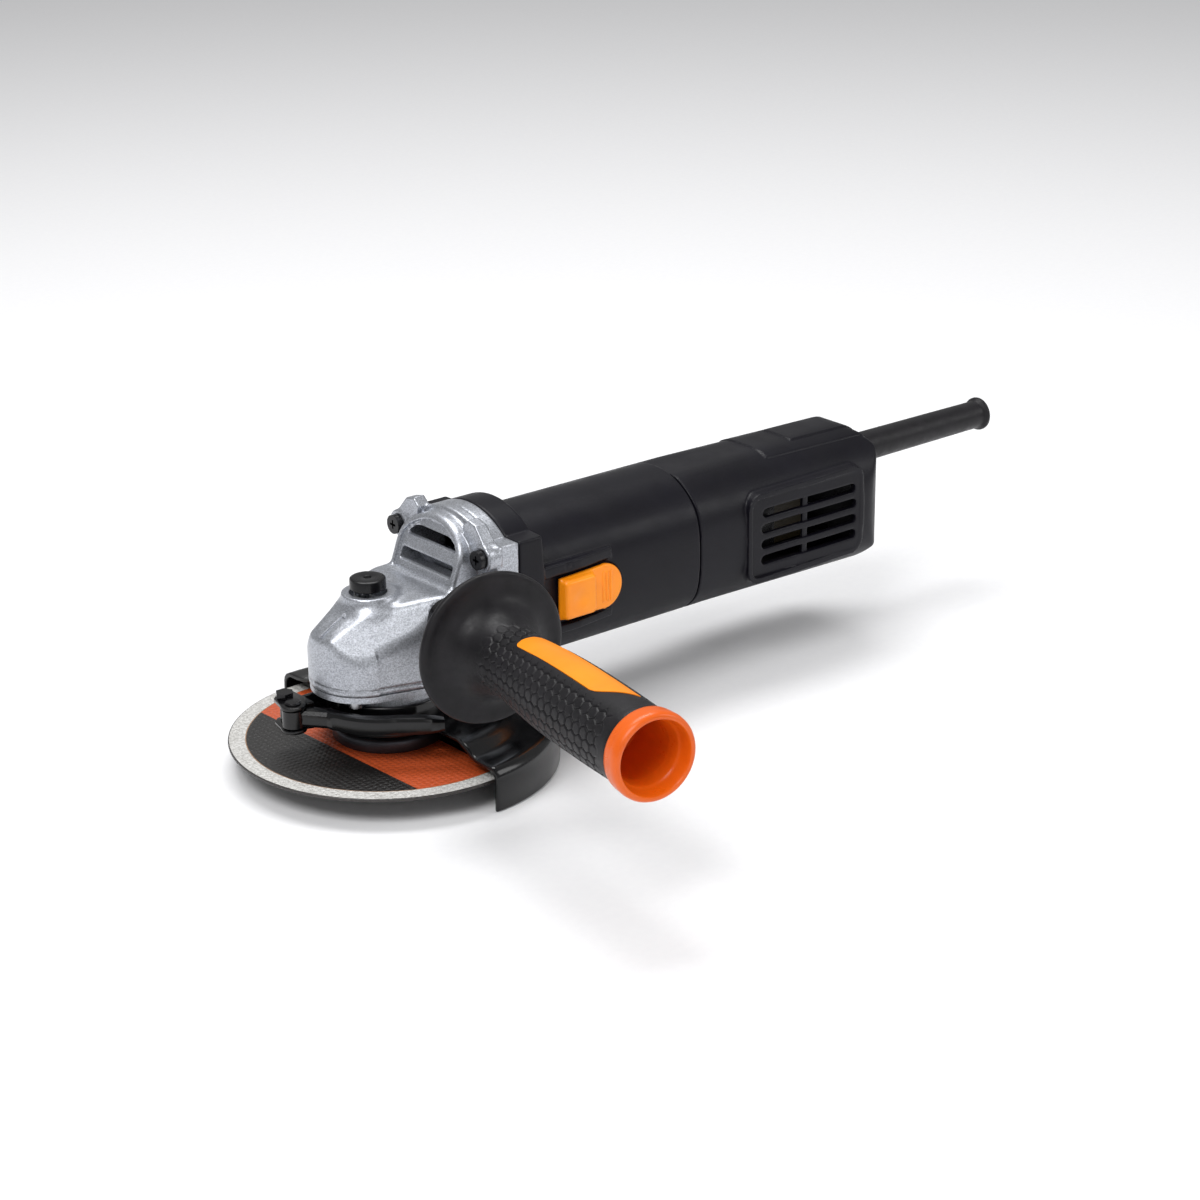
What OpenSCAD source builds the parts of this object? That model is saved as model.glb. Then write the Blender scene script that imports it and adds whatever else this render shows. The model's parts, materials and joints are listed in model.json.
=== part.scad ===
// Angle grinder for 125 mm discs. Millimetres.
// Origin: on the spindle axis, at the outer face of the clamp nut's flange.
// +Z up along the spindle, +X back along the motor towards the cord, -Y towards the side handle.

/* [Cutting disc] */
// Diameter of the cutting disc
disc_d = 125; // [100:1:130]
// Thickness of the cutting disc
disc_t = 1.2; // [0.8:0.1:3]
// Diameter of the disc's centre hole
disc_bore = 22.23; // [20:0.01:24]

/* [Spindle] */
// Diameter of the spindle thread
thread_d = 14; // [12:0.5:16]
// Diameter of the clamp nut's flange
nut_flange_d = 38; // [36:0.5:42]
// Thickness of the clamp nut's flange
nut_flange_t = 4.5; // [4:0.1:7]
// Height of the clamp nut's hub below its flange
nut_hub_h = 5; // [3:0.5:8]
// Pitch circle of the two holes for the pin spanner
spanner_pcd = 30; // [28:0.5:32]
// Diameter of the spanner holes
spanner_hole_d = 5; // [4:0.1:6]
// Diameter of the inner flange that the disc rests on
inner_flange_d = 44; // [38:0.5:46]
// Thickness of the inner flange's rim
inner_flange_t = 5.5; // [4:0.1:7]

/* [Gears] */
// Height of the motor axis above the nut's outer face
motor_z = 53.5; // [52:0.5:60]
// Teeth on the spindle's bevel gear
gear_teeth = 37; // [30:1:44]
// Teeth on the motor's pinion
pinion_teeth = 13; // [10:1:15]
// Pitch radius of the spindle's bevel gear
gear_r = 19.5; // [18.5:0.1:20]

/* [Motor body] */
// Radius of the motor body's rounded top
body_r = 31.4; // [31:0.1:36]
// Distance from the motor axis to the body's flat sides
body_side = 28.6; // [28.2:0.1:32]
// Distance from the motor axis down to the body's flat underside
body_under = 28.8; // [28.6:0.1:32]
// Wall thickness of the plastic body
body_wall = 2.6; // [2:0.1:3]
// Where the motor housing ends and the rear cover begins
seam_x = 136.5; // [136:0.5:150]
// End of the rear cover
tail_x = 244; // [236:1:290]
// Half width of the collar behind the gear case
collar_side = 31; // [31:0.5:36]

/* [Gear case] */
// Front of the nose
nose_x = -32; // [-40:0.5:-31]
// Half width of the gear case
case_side = 25.5; // [25:0.5:28]
// Where the gear case ends and the motor housing begins
case_end_x = 41.6; // [41:0.1:44]
// Diameter of the lock button
button_d = 14; // [11:0.5:14]
// Travel of the spindle lock
lock_travel = 4.5; // [4:0.1:5]

/* [Guard] */
// Outer radius of the guard
guard_r = 66.5; // [66:0.5:74]
// Thickness of the guard's sheet
guard_t = 1.6; // [1.2:0.1:2]
// How far the guard's skirt reaches below the nut's outer face
guard_drop = 6; // [2:0.5:12]
// Radius of the round spigot that the guard clamps on
spigot_r = 23.5; // [22:0.5:24]

/* [Side handle] */
// How far forward the handle leans from square to the body, in degrees
handle_lean = 9; // [0:1:12]
// Height of the handle above the motor axis
handle_up = 6; // [2:0.5:8]
// Distance from the machine's middle plane to the handle's rubber flange
handle_flange_at = 64.4; // [60:0.5:72]
// Radius of the rubber flange
handle_flange_r = 29.6; // [24:0.5:34]
// Distance from the machine's middle plane to the handle's end
handle_end_at = 180; // [165:1:200]
// Radius of the grip at its thickest
grip_r = 15.4; // [14:0.1:18]
// Diameter of the handle's thread
handle_thread_d = 8; // [6:1:10]

/* [Cord sleeve] */
// Height of the cord sleeve above the motor axis
sleeve_up = 13.5; // [8:0.5:15]
// Length of the sleeve outside the body
sleeve_len = 83; // [50:1:110]
// Diameter of the hole for the cord
cord_hole_d = 8.4; // [6:0.1:9]

/* [Switch] */
// Travel of the slide switch
switch_travel = 7; // [4:0.5:7.5]

/* [Hidden] */
$fn = 64;
e = 0.01;
gap = 0.3; // between pieces that move past each other
fit = 0.05; // radial room around a shaft or in a seat
joint_gap = 0.1; // between parts screwed together
disc_r = disc_d / 2;
disc_low = nut_flange_t;
disc_top = disc_low + disc_t;
inner_flange_top = disc_top + inner_flange_t;
seat_z = disc_top + 8.2; // shoulder that the inner flange stands against
bearing_z = seat_z + 2.6; // underside of the lower spindle bearing
bearing_t = 11; // width of the lower spindle bearing
bearing_r = 17.5;
spindle_r = 7.5;
cover_z = motor_z - 24.5; // underside of the bearing cover's plate
cover_t = 2.5;
case_z = cover_z + cover_t;
pinion_r = gear_r * pinion_teeth / gear_teeth;
cone = atan(pinion_r / gear_r); // angle of the bevel gear's pitch cone from the flat
tooth_depth = 2.2;
tooth_in = 14.4; // inner radius of the bevel gear's teeth
web_z = motor_z - 9; // top of the bevel gear's web
shaft_r = 5;
bore_in = body_r - body_wall;
lock_x = -9.5;
button_x = -7.4;
button_h = 4.6;
boss_z = motor_z + 13; // flat top under the lock button
boss_rim = 2; // of the boss around the button
case_screw_y = 26.8;
case_screw_z = 24.7;
band_r = spigot_r + 0.08;
band_t = 2;
band_z = seat_z + 2.9;
band_top = cover_z - 2.6;
lever_z = band_z + 1.7;
lever_top = band_top - 0.3;
lever_in = 30.2; // inner radius of the lever's curve, less its offset
lever_t = 3.6;
lever_eye_r = 4.4;
lever_from = -168; // angles around the spindle where the lever starts, bends out and ends
lever_bend = -120;
lever_tip = -93;
pin_at = [-41.5, 3.5];
clevis_r = 5;
guard_from = -88.5; // angles round the spindle that the guard's plate spans
guard_to = 94;
guard_ring_r = 28; // of the ring that joins plate and band all round
pin_r = 2; // of the lever's pin and the clamp bolt
pin_head_r = 3.2;
bolt_at = [-40.2, 11];
bolt_head_r = 3.6;
handle_x = 13;
handle_z = motor_z + handle_up;
boss_end = 27.5; // face of the handle bosses, from the middle plane
handle_top_r = handle_thread_d / 2;
duct_half = 15.6; // half width of the air duct behind the louvres
hollow_at = handle_end_at - 38; // where the side handle's core widens around its end hollow
hollow_r = 11.6;
inlay_at = handle_flange_at + 28; // inner end of the orange strip
inlay_l = handle_end_at - 27 - inlay_at;
switch_x = 62.5;
switch_l = 31.5;
link_y = body_side - body_wall - 2.4;
link_h = 6;
sleeve_r = 6.3;
tail_top = body_r - 2; // height of the cover's top at its end
nose_r = 21; // plan radius of the nose
rear_screw_x = [150, tail_x - 16];
clamp_x = tail_x - 34;

silver = "#b9bcc2";
plastic = "#1f2024";
steel = "#8f9296";
orange = "#f08022";
enamel = "#101012";
copper = "#b0683a";
rubber = "#1a1a1c";

// A cylinder along X, at a place across the body given from the motor axis.
module xcyl(r, x0, x1, y = 0, z = 0) {
    translate([x0, y, motor_z + z]) rotate([0, 90, 0]) cylinder(r = r, h = x1 - x0);
}

// A box from one corner to the opposite one, with heights from the motor axis.
module mbox(a, b) {
    translate([a[0], a[1], motor_z + a[2]]) cube([b[0] - a[0], b[1] - a[1], b[2] - a[2]]);
}

// A ring around the spindle axis.
module zring(r_out, r_in, z0, z1) {
    translate([0, 0, z0]) difference() {
        cylinder(r = r_out, h = z1 - z0);
        translate([0, 0, -1]) cylinder(r = r_in, h = z1 - z0 + 2);
    }
}

// A ring around the motor axis.
module xring(r_out, r_in, x0, x1) {
    difference() {
        xcyl(r_out, x0, x1);
        xcyl(r_in, x0 - 1, x1 + 1);
    }
}

// The body's section: round top, flat sides and flat underside, shrunk by inset.
module body_bar(x0, x1, inset = 0) {
    intersection() {
        xcyl(body_r - inset, x0, x1);
        mbox([x0 - 1, -body_side + inset, -body_under + inset],
            [x1 + 1, body_side - inset, body_r + 1]);
    }
}

// The collar's section: a square-shouldered box with a round arch over it.
module collar_bar(x0, x1) {
    intersection() {
        xcyl(collar_side + 3, x0, x1, 0, 3.5);
        mbox([x0 - 1, -collar_side, -body_under], [x1 + 1, collar_side, body_r + 8]);
    }
    mbox([x0, -collar_side, -body_under], [x1, collar_side, body_under + 0.2]);
}

// Places its children at the four case screws.
module at_case_screws() {
    for (y = [-1, 1], z = [-1, 1])
        translate([0, y * case_screw_y, motor_z + z * case_screw_z + (z < 0 ? 1 : 0)])
            children();
}

// Places its children along the side handle: +Z runs out along it, +Y is up.
module along_handle(side = -1) {
    mirror([0, side > 0 ? 1 : 0, 0])
        translate([handle_x, 0, handle_z]) rotate([90, 0, -handle_lean]) children();
}

// ---- gear case ----

// Plan shape of the gear case: round nose and straight sides.
module case_plan(z0, z1, inset = 0) {
    translate([0, 0, z0]) linear_extrude(height = z1 - z0) {
        translate([nose_x + nose_r, 0]) circle(r = nose_r - inset);
        polygon([[nose_x + nose_r - 4, -nose_r + inset + 0.4], [3, -case_side + inset],
            [31.5, -case_side + inset], [31.5, case_side - inset], [3, case_side - inset],
            [nose_x + nose_r - 4, nose_r - inset - 0.4]]);
    }
}

module nose() {
    intersection() {
        case_plan(case_z, motor_z + 16);
        hull() for (side = [-1, 1]) {
            translate([nose_x - 3, side * 8, case_z]) cube([1, 0.1, 1]);
            translate([nose_x + 1.5, side * 6, motor_z - 1]) sphere(r = 1.5, $fn = 16);
            translate([-17.2, side * 18.6, motor_z - 5.6]) sphere(r = 1.8, $fn = 16);
            translate([-18, side * 8, motor_z + 5]) sphere(r = 2.5, $fn = 16);
            translate([11, side * 21.8, motor_z + 10.2]) sphere(r = 2.2, $fn = 16);
            translate([14, side * 13, motor_z + 10.5]) sphere(r = 2.5, $fn = 16);
            translate([30, side * (case_side - 0.1), motor_z + 8]) cube([1.5, 0.2, 1], center = true);
            translate([30, side * (case_side + 4), case_z]) cube([1.5, 0.1, 1]);
            translate([-26, side * 26, case_z]) cube([1, 0.1, 1]);
        }
    }
}

// Louvre hood: an arch with a slanting front face.
module hood() {
    difference() {
        union() {
            xcyl(20.4, 13, 32, 0, 15.4);
            mbox([13, -20.4, 0], [32, 20.4, 15.4]);
        }
        translate([16.4, -40, motor_z + 11]) rotate([0, 20, 0])
            translate([-40, 0, -30]) cube([40, 80, 80]);
    }
}

module handle_boss(side) {
    along_handle(side) translate([0, 0, 12]) cylinder(r = 6.5, h = boss_end - 12);
}

module gear_case() {
    color(silver) difference() {
        union() {
            nose();
            translate([button_x, 0, case_z + 5]) cylinder(r = 11.5, h = boss_z + boss_rim - case_z - 5);
            hood();
            collar_bar(31, case_end_x);
            at_case_screws() rotate([0, 90, 0]) translate([0, 0, 26.6]) cylinder(r = 5.4, h = 6);
            for (side = [-1, 1]) handle_boss(side);
        }
        // gear chamber, pinion chamber and bearing seats
        translate([0, 0, case_z - 1]) cylinder(r = gear_r + 2.1, h = web_z + 5 - case_z);
        xcyl(10, 8, 31);
        xcyl(15 + fit, 29.8, case_end_x + 1);
        translate([0, 0, motor_z - 4]) cylinder(r = 6 + fit, h = 9.5);
        translate([0, 0, motor_z - 12]) cylinder(r = 8, h = 10.6);
        // spindle lock
        translate([lock_x, 0, motor_z - 12]) cylinder(r = 2.04, h = 30);
        translate([button_x, 0, boss_z - lock_travel - 0.7]) cylinder(r = button_d / 2 + gap, h = 20);
        // air duct and louvre slots
        difference() {
            mbox([19.5, -duct_half, 15.4], [case_end_x + 1, duct_half, 27.4]);
            xcyl(17.6, 10, 60);
            translate([16.4 + 2.6, -40, motor_z + 11]) rotate([0, 20, 0])
                translate([-40, 0, -30]) cube([40, 80, 80]);
        }
        mbox([10, 1.2 - duct_half, 24.3], [26, duct_half - 1.2, 28.6]);
        mbox([10, -duct_half - 1, 15.4], [26, duct_half + 1, 19.4]);
        // screws and handle threads
        at_case_screws() rotate([0, 90, 0]) translate([0, 0, 20]) cylinder(r = 2.2, h = 30);
        at_case_screws() rotate([0, 90, 0]) translate([0, 0, 20]) cylinder(r = 3.9, h = 6.6 + gap);
        cover_screw_places() translate([0, 0, case_z - 1]) cylinder(r = 1.95, h = 13.5);
        for (side = [-1, 1]) along_handle(side)
            translate([0, 0, 13]) cylinder(r = handle_top_r, h = boss_end);
    }
}

module cover_screw_places(only = -1) {
    places = [[-23.6, -12.6], [-23.6, 12.6], [18.5, -20.4], [18.5, 20.4]];
    for (i = [0:3]) if (only < 0 || only == i) translate(places[i]) children();
}

module bearing_cover() {
    color(silver) difference() {
        union() {
            case_plan(cover_z, case_z - joint_gap, 0.4);
            translate([0, 0, seat_z + 0.6]) cylinder(r = spigot_r, h = cover_z - seat_z);
        }
        translate([0, 0, bearing_z]) cylinder(r = bearing_r + fit, h = 40);
        translate([0, 0, seat_z - 1]) cylinder(r = 13.2, h = 40);
        cover_screw_places() translate([0, 0, cover_z - 1]) cylinder(r = 2.2, h = 10);
        translate([26, -50, 0]) cube([20, 100, 60]);
        at_case_screws() rotate([0, 90, 0]) translate([0, 0, 20]) cylinder(r = 3.8 + gap, h = 8);
    }
}

module cover_screw(i) {
    color(steel) cover_screw_places(i) difference() {
        union() {
            translate([0, 0, cover_z - 2.1]) cylinder(r = 2.8, h = 2.1);
            translate([0, 0, cover_z - e]) cylinder(r = 1.9, h = 13);
        }
        translate([0, 0, cover_z - 2.2]) cylinder(r = 1.5, h = 1.3, $fn = 6);
    }
}
module cover_screw_1() { cover_screw(0); }
module cover_screw_2() { cover_screw(1); }
module cover_screw_3() { cover_screw(2); }
module cover_screw_4() { cover_screw(3); }

module case_screw(y, z) {
    color(enamel) translate([26.6, y * case_screw_y, motor_z + z * case_screw_z + (z < 0 ? 1 : 0)])
        rotate([0, 90, 0]) difference() {
            union() {
                translate([0, 0, -2.6]) cylinder(r = 3.8, h = 2.6 + gap);
                cylinder(r = 2.1, h = 25);
            }
            translate([0, 0, -2.7]) for (a = [0, 90]) rotate([0, 0, a])
                cube([3.6, 0.9, 2.6], center = true);
        }
}
module case_screw_1() { case_screw(-1, 1); }
module case_screw_2() { case_screw(1, 1); }
module case_screw_3() { case_screw(-1, -1); }
module case_screw_4() { case_screw(1, -1); }

// ---- spindle group ----

module spindle() {
    color(steel) union() {
        translate([0, 0, -nut_hub_h + 1]) cylinder(r = thread_d / 2, h = seat_z + nut_hub_h - 1);
        translate([0, 0, seat_z]) cylinder(r = 9.5, h = bearing_z - seat_z);
        translate([0, 0, bearing_z - e]) cylinder(r = spindle_r, h = bearing_t + 1.4);
        translate([0, 0, bearing_z + bearing_t]) cylinder(r = 6, h = web_z - 1 - bearing_z - bearing_t);
        translate([0, 0, web_z - 1 - e]) cylinder(r = 4, h = motor_z + 4.8 - web_z + 1);
    }
}

module inner_flange() {
    color("#3a3b3f") difference() {
        union() {
            translate([0, 0, disc_top]) cylinder(r = inner_flange_d / 2, h = inner_flange_t - 1);
            translate([0, 0, inner_flange_top - 1])
                cylinder(r1 = inner_flange_d / 2, r2 = inner_flange_d / 2 - 1, h = 1);
            translate([0, 0, disc_top]) cylinder(r = 12, h = seat_z - disc_top);
            translate([0, 0, disc_low + 0.2]) cylinder(r = disc_bore / 2 - 0.6, h = 2);
        }
        translate([0, 0, -1]) cylinder(r = thread_d / 2 + fit, h = 30);
    }
}

module cutting_disc() {
    color("#24221f") zring(disc_r, disc_bore / 2 + 3, disc_low, disc_top);
}

module disc_ring() {
    color(steel) zring(disc_bore / 2 + 3, disc_bore / 2, disc_low, disc_top);
}

module clamp_nut() {
    color("#3a3b3f") difference() {
        union() {
            cylinder(r = nut_flange_d / 2, h = nut_flange_t);
            translate([0, 0, -nut_hub_h]) cylinder(r = 11, h = nut_hub_h + 1);
        }
        translate([0, 0, -nut_hub_h - 1]) cylinder(r = thread_d / 2 + fit, h = 20);
        translate([0, 0, nut_flange_t - 0.8]) cylinder(r = disc_bore / 2 + 1, h = 1);
        for (a = [0, 180]) rotate([0, 0, a]) translate([spanner_pcd / 2, 0, -1])
            cylinder(d = spanner_hole_d, h = nut_flange_t);
    }
}

// One straight gap between two bevel teeth, cut along the pitch cone of half angle a.
module tooth_gap(count, r0, r1, a) {
    w = PI / count * 0.52;
    rotate([0, a, 0]) translate([0, 0, -tooth_depth])
        linear_extrude(height = tooth_depth * 3)
            polygon([[r0, -r0 * w], [r1, -r1 * w], [r1, r1 * w], [r0, r0 * w]]);
}

// Turned blank under the pitch cone, with its apex on the motor axis, then the gaps.
module bevel_gear() {
    back_r = gear_r + 0.8;
    back_z = -back_r * tan(cone) - 0.25;
    color("#77797d") difference() {
        translate([0, 0, motor_z]) difference() {
            rotate_extrude() polygon([[6 + fit, -19], [13, -19], [13, -14], [back_r, -11.8],
                [back_r, back_z], [tooth_in, -tooth_in * tan(cone) - 0.25],
                [tooth_in, web_z - motor_z], [6 + fit, web_z - motor_z]]);
            for (i = [0:gear_teeth - 1]) rotate([0, 0, i * 360 / gear_teeth])
                tooth_gap(gear_teeth, tooth_in - 1, back_r + 2, cone);
        }
        for (a = [0:90:270]) rotate([0, 0, a]) translate([lock_x, 0, web_z - 3])
            cylinder(r = 2.4, h = 10);
    }
}

module spindle_bearing() {
    color("#a5a8ac") union() {
        zring(bearing_r, bearing_r - 2.4, bearing_z + 0.1, bearing_z + bearing_t);
        zring(bearing_r - 2.4, spindle_r + 2.3, bearing_z + 0.8, bearing_z + bearing_t - 0.7);
        zring(spindle_r + 2.3, spindle_r + fit, bearing_z + 0.1, bearing_z + bearing_t);
    }
}

module spindle_bush() {
    color("#b48a4a") zring(6, 4 + fit, motor_z - 1.2, motor_z + 5.2);
}

// ---- motor ----

module armature_shaft() {
    color(steel) union() {
        xcyl(2.9, 8.8, 14.6);
        xcyl(4, 14.5, 30);
        xcyl(shaft_r, 29.9, 126.6);
        xcyl(4, 126.5, 135);
    }
}

module pinion() {
    tip = pinion_r - 0.25;
    color("#77797d") translate([0, 0, motor_z]) rotate([0, 90, 0]) difference() {
        union() {
            translate([0, 0, tooth_in])
                cylinder(r1 = tooth_in * tan(cone) - 0.25, r2 = tip, h = gear_r - tooth_in);
            translate([0, 0, gear_r - e]) cylinder(r = 6.5, h = 29.4 - gear_r);
        }
        translate([0, 0, tooth_in - 1]) cylinder(r = 4 + fit, h = 30);
        for (i = [0:pinion_teeth - 1]) rotate([0, 0, i * 360 / pinion_teeth])
            pinion_gap();
    }
}

// One gap between two pinion teeth, cut along the pinion's cone.
module pinion_gap() {
    half = PI / pinion_teeth * 0.5 * pinion_r / gear_r;
    rotate([0, -90 + cone, 0]) translate([0, 0, -1.4]) linear_extrude(height = 4)
        polygon([[tooth_in - 1, -(tooth_in - 1) * half], [gear_r + 2, -(gear_r + 2) * half],
            [gear_r + 2, (gear_r + 2) * half], [tooth_in - 1, (tooth_in - 1) * half]]);
}

module pinion_nut() {
    color(steel) translate([9.6, 0, motor_z]) rotate([0, 90, 0]) difference() {
        cylinder(r = 5, h = 4.2, $fn = 6);
        translate([0, 0, -1]) cylinder(r = 2.9 + fit, h = 8);
    }
}

module motor_bearing_front() {
    color("#a5a8ac") xring(15, shaft_r + fit, 30.1, 39);
}

module motor_bearing_rear() {
    color("#a5a8ac") xring(11, 4 + fit, 127, 134);
}

module fan() {
    color("#2b2c30") difference() {
        union() {
            xcyl(24.6, 52, 53.4);
            xcyl(9, 44, 53.4);
            for (a = [0:24:336]) translate([0, 0, motor_z]) rotate([a, 0, 0])
                translate([44, -0.7, 8.5]) cube([8.5, 1.4, 15.6]);
        }
        xcyl(shaft_r + fit, 40, 60);
    }
}

module fan_baffle() {
    color("#2f3035") difference() {
        body_bar(56.4, 58.2, body_wall + 0.1);
        xcyl(17.5, 50, 60);
    }
}

// A wedge of a ring around the motor axis, between two angles from +Y.
module coil_wedge(r_in, r_out, a0, a1, x0, x1) {
    translate([x0, 0, motor_z]) rotate([90, 0, 90]) rotate([0, 0, a0])
        rotate_extrude(angle = a1 - a0) translate([r_in, 0]) square([r_out - r_in, x1 - x0]);
}

module stator_core() {
    color("#6d6f73") difference() {
        intersection() {
            xcyl(bore_in - 0.2, 62, 104);
            mbox([61, -25.8, -25.9], [105, 25.8, 40]);
        }
        xcyl(18.6, 60, 106);
        for (up = [0, 180], a = [17, 141])
            coil_wedge(18, 24.6, up + a, up + a + 22, 61, 105);
        mbox([60, -30, -8], [110, -link_y + 1, 2]);
        mbox([60, link_y - 1, -8], [110, 30, 2]);
    }
}

module field_coil(up) {
    color(copper) difference() {
        coil_wedge(19.2, 24, up + 18, up + 162, 59, 108);
        coil_wedge(18, 26, up + 38, up + 142, 61.8, 104.2);
    }
}
module field_coil_upper() { field_coil(0); }
module field_coil_lower() { field_coil(180); }

module armature_core() {
    color("#808286") difference() {
        xcyl(18, 62.5, 103.5);
        xcyl(shaft_r + fit, 60, 110);
        for (a = [0:30:330]) translate([0, 0, motor_z]) rotate([a, 0, 0])
            translate([60, -0.9, 15.2]) cube([50, 1.8, 5]);
    }
}

module armature_windings() {
    color(copper) difference() {
        union() {
            xcyl(15, 57.2, 62.3);
            xcyl(15, 103.7, 110);
        }
        xcyl(shaft_r + fit, 50, 115);
    }
}

module commutator() {
    color("#c07a45") difference() {
        xcyl(11.4, 111, 124);
        xcyl(shaft_r + fit, 110, 126);
        for (a = [0:18:342]) translate([0, 0, motor_z]) rotate([a, 0, 0])
            translate([112.5, -0.25, 10.8]) cube([20, 0.5, 3]);
    }
}

module brush_holder(up) {
    color("#c9a45c") difference() {
        mbox([113, -5, up > 0 ? 13 : -24.5], [123, 5, up > 0 ? 24.5 : -13]);
        mbox([114.9, -3.1, up > 0 ? 12 : -23.5], [121.1, 3.1, up > 0 ? 23.5 : -12]);
    }
}
module brush_holder_upper() { brush_holder(1); }
module brush_holder_lower() { brush_holder(-1); }

module carbon_brush(up) {
    color("#3c3d40") mbox([115, -3, up > 0 ? 11.8 : -22], [121, 3, up > 0 ? 22 : -11.8]);
}
module carbon_brush_upper() { carbon_brush(1); }
module carbon_brush_lower() { carbon_brush(-1); }

// ---- body ----

// Ledge beside the switch, running out into the side of the body.
module switch_ledge(z0, z1) {
    hull() {
        mbox([53, -collar_side + 0.4, z0 + 0.8], [73, -body_side + 2, z1]);
        mbox([53, -body_side, z0], [88, -body_side + 2, z1 + 1.6]);
    }
}

module motor_housing() {
    x0 = case_end_x + joint_gap;
    color(plastic) difference() {
        union() {
            collar_bar(x0, 54);
            body_bar(x0, seam_x);
            switch_ledge(10.2, 15);
            switch_ledge(-14, -11.4);
        }
        difference() {
            body_bar(x0 - 1, 126, body_wall);
            brush_posts();
        }
        body_bar(134.6, seam_x + 1, body_wall);
        // rear spider: four arms around the bearing seat
        difference() {
            body_bar(125, 135, body_wall);
            xcyl(14, 120, 140);
            for (a = [45:90:315]) translate([0, 0, motor_z]) rotate([a, 0, 0])
                translate([120, -3, 0]) cube([20, 6, 40]);
        }
        xcyl(11 + fit, 127 - 0.1, 140);
        xcyl(7, 120, 140);
        at_case_screws() rotate([0, 90, 0]) translate([0, 0, x0 - 1]) cylinder(r = 2.15, h = 12);
        // pocket and slot of the slide switch
        mbox([switch_x - switch_travel - 1, -body_side - 5, -9.9],
            [switch_x + switch_l - 9.4, -body_side + 1.1, 9.8]);
        translate([switch_x + switch_l - 9.6, -body_side + 1.1, motor_z - 0.1])
            rotate([90, 0, 0]) cylinder(r = 9.9, h = 10);
        mbox([switch_x + 1.6, -body_side - 5, -5.4], [switch_x + 23, -body_side + 5, -0.4]);
    }
}

// Solid places in the housing that carry the brush holders.
module brush_posts() {
    for (up = [-1, 1]) difference() {
        mbox([111.5, -7.5, up > 0 ? 20 : -40], [124.5, 7.5, up > 0 ? 40 : -20]);
        mbox([113 - 0.1, -5.1, -24.6], [123.1, 5.1, 24.6]);
    }
}

// Outline of the tail, rounded in plan and over the top.
module tail_bar(inset = 0) {
    x0 = seam_x + 0.5;
    x1 = tail_x - inset;
    round_r = 13 - inset / 2;
    top = tail_top - inset;
    top_r = 9 - inset;
    low_r = 12 - inset;
    intersection() {
        body_bar(x0 - 1, x1, inset);
        translate([0, 0, motor_z - 50]) linear_extrude(height = 100) {
            translate([x0, -50]) square([x1 - round_r - x0, 100]);
            translate([x1 - round_r - 1, -body_side + inset + round_r])
                square([round_r + 1, 2 * (body_side - inset - round_r)]);
            for (y = [-1, 1]) translate([x1 - round_r, y * (body_side - inset - round_r)])
                circle(r = round_r);
        }
        translate([0, 50, motor_z]) rotate([90, 0, 0]) linear_extrude(height = 100) {
            polygon([[x0, -50], [x1 - low_r, -50], [x1 - low_r, low_r - body_under + inset],
                [x1, low_r - body_under + inset], [x1, top - top_r], [x1 - top_r, top - top_r],
                [x1 - top_r, top], [x0 + 16, body_r - inset], [x0, 50]]);
            translate([x1 - top_r, top - top_r]) circle(r = top_r);
            translate([x1 - low_r, low_r - body_under + inset]) circle(r = low_r);
        }
    }
}

// Rounded rectangle that frames the vents.
module vent_panel(side, grow) {
    hull() for (x = [168.2, 221.5], z = [-13.5, 12.6])
        translate([x, side * (body_side - 0.1), motor_z + z]) rotate([90, 0, 0])
            cylinder(r = 4 + grow, h = 1.2, center = true, $fn = 24);
}

module rear_cover() {
    color(plastic) difference() {
        union() {
            tail_bar();
            for (side = [-1, 1]) vent_panel(side, 2.2);
        }
        difference() {
            tail_bar(body_wall);
            mbox([tail_x - 22, -11, 3], [tail_x, 11, 24]);
            rear_screw_bosses();
        }
        for (side = [-1, 1]) vent_panel(side, 0);
        for (i = [0:3], side = [-1, 1]) slot_row(side, 9.4 - i * 6.8);
        xcyl(sleeve_r + 0.1, tail_x - 30, tail_x + 10, 0, sleeve_up);
        xcyl(sleeve_r + 2.1, tail_x - 16.1, tail_x - 8, 0, sleeve_up);
        for (x = rear_screw_x) translate([x, 0, motor_z - body_under - 1]) cylinder(r = 1.9, h = 12);
        for (x = rear_screw_x) translate([x, 0, motor_z - body_under - 1]) cylinder(r = 3.6, h = 3);
    }
}

// One row of two vent slots, cut square through the wall.
module slot_row(side, z) {
    for (span = [[172.5, 193.5], [197, 221.5]]) {
        mbox([span[0], side * body_side - 8, z - 2], [span[1], side * body_side + 8, z + 2]);
        for (x = span) translate([x, side * body_side, motor_z + z]) rotate([90, 0, 0])
            cylinder(r = 2, h = 16, center = true);
    }
}

module rear_screw_bosses() {
    for (x = rear_screw_x) translate([x, 0, motor_z - body_under]) cylinder(r = 5, h = 12);
}

module rear_screw(x) {
    color(steel) difference() {
        union() {
            translate([x, 0, motor_z - body_under + 0.1]) cylinder(r = 3.3, h = 1.9);
            translate([x, 0, motor_z - body_under + 0.1]) cylinder(r = 1.85, h = 10);
        }
        translate([x, 0, motor_z - body_under]) for (a = [0, 90]) rotate([0, 0, a])
            cube([3.4, 0.8, 1.8], center = true);
    }
}
module rear_screw_1() { rear_screw(rear_screw_x[0]); }
module rear_screw_2() { rear_screw(rear_screw_x[1]); }

module mains_switch() {
    color("#34353a") union() {
        mbox([164, -14, -12], [190, 14, 12]);
        mbox([168, -14 - 3, -5], [186, -14 + 1, 2]);
    }
}

module capacitor() {
    color("#b7a063") mbox([194, -9, -14], [212, 9, 4]);
}

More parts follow.
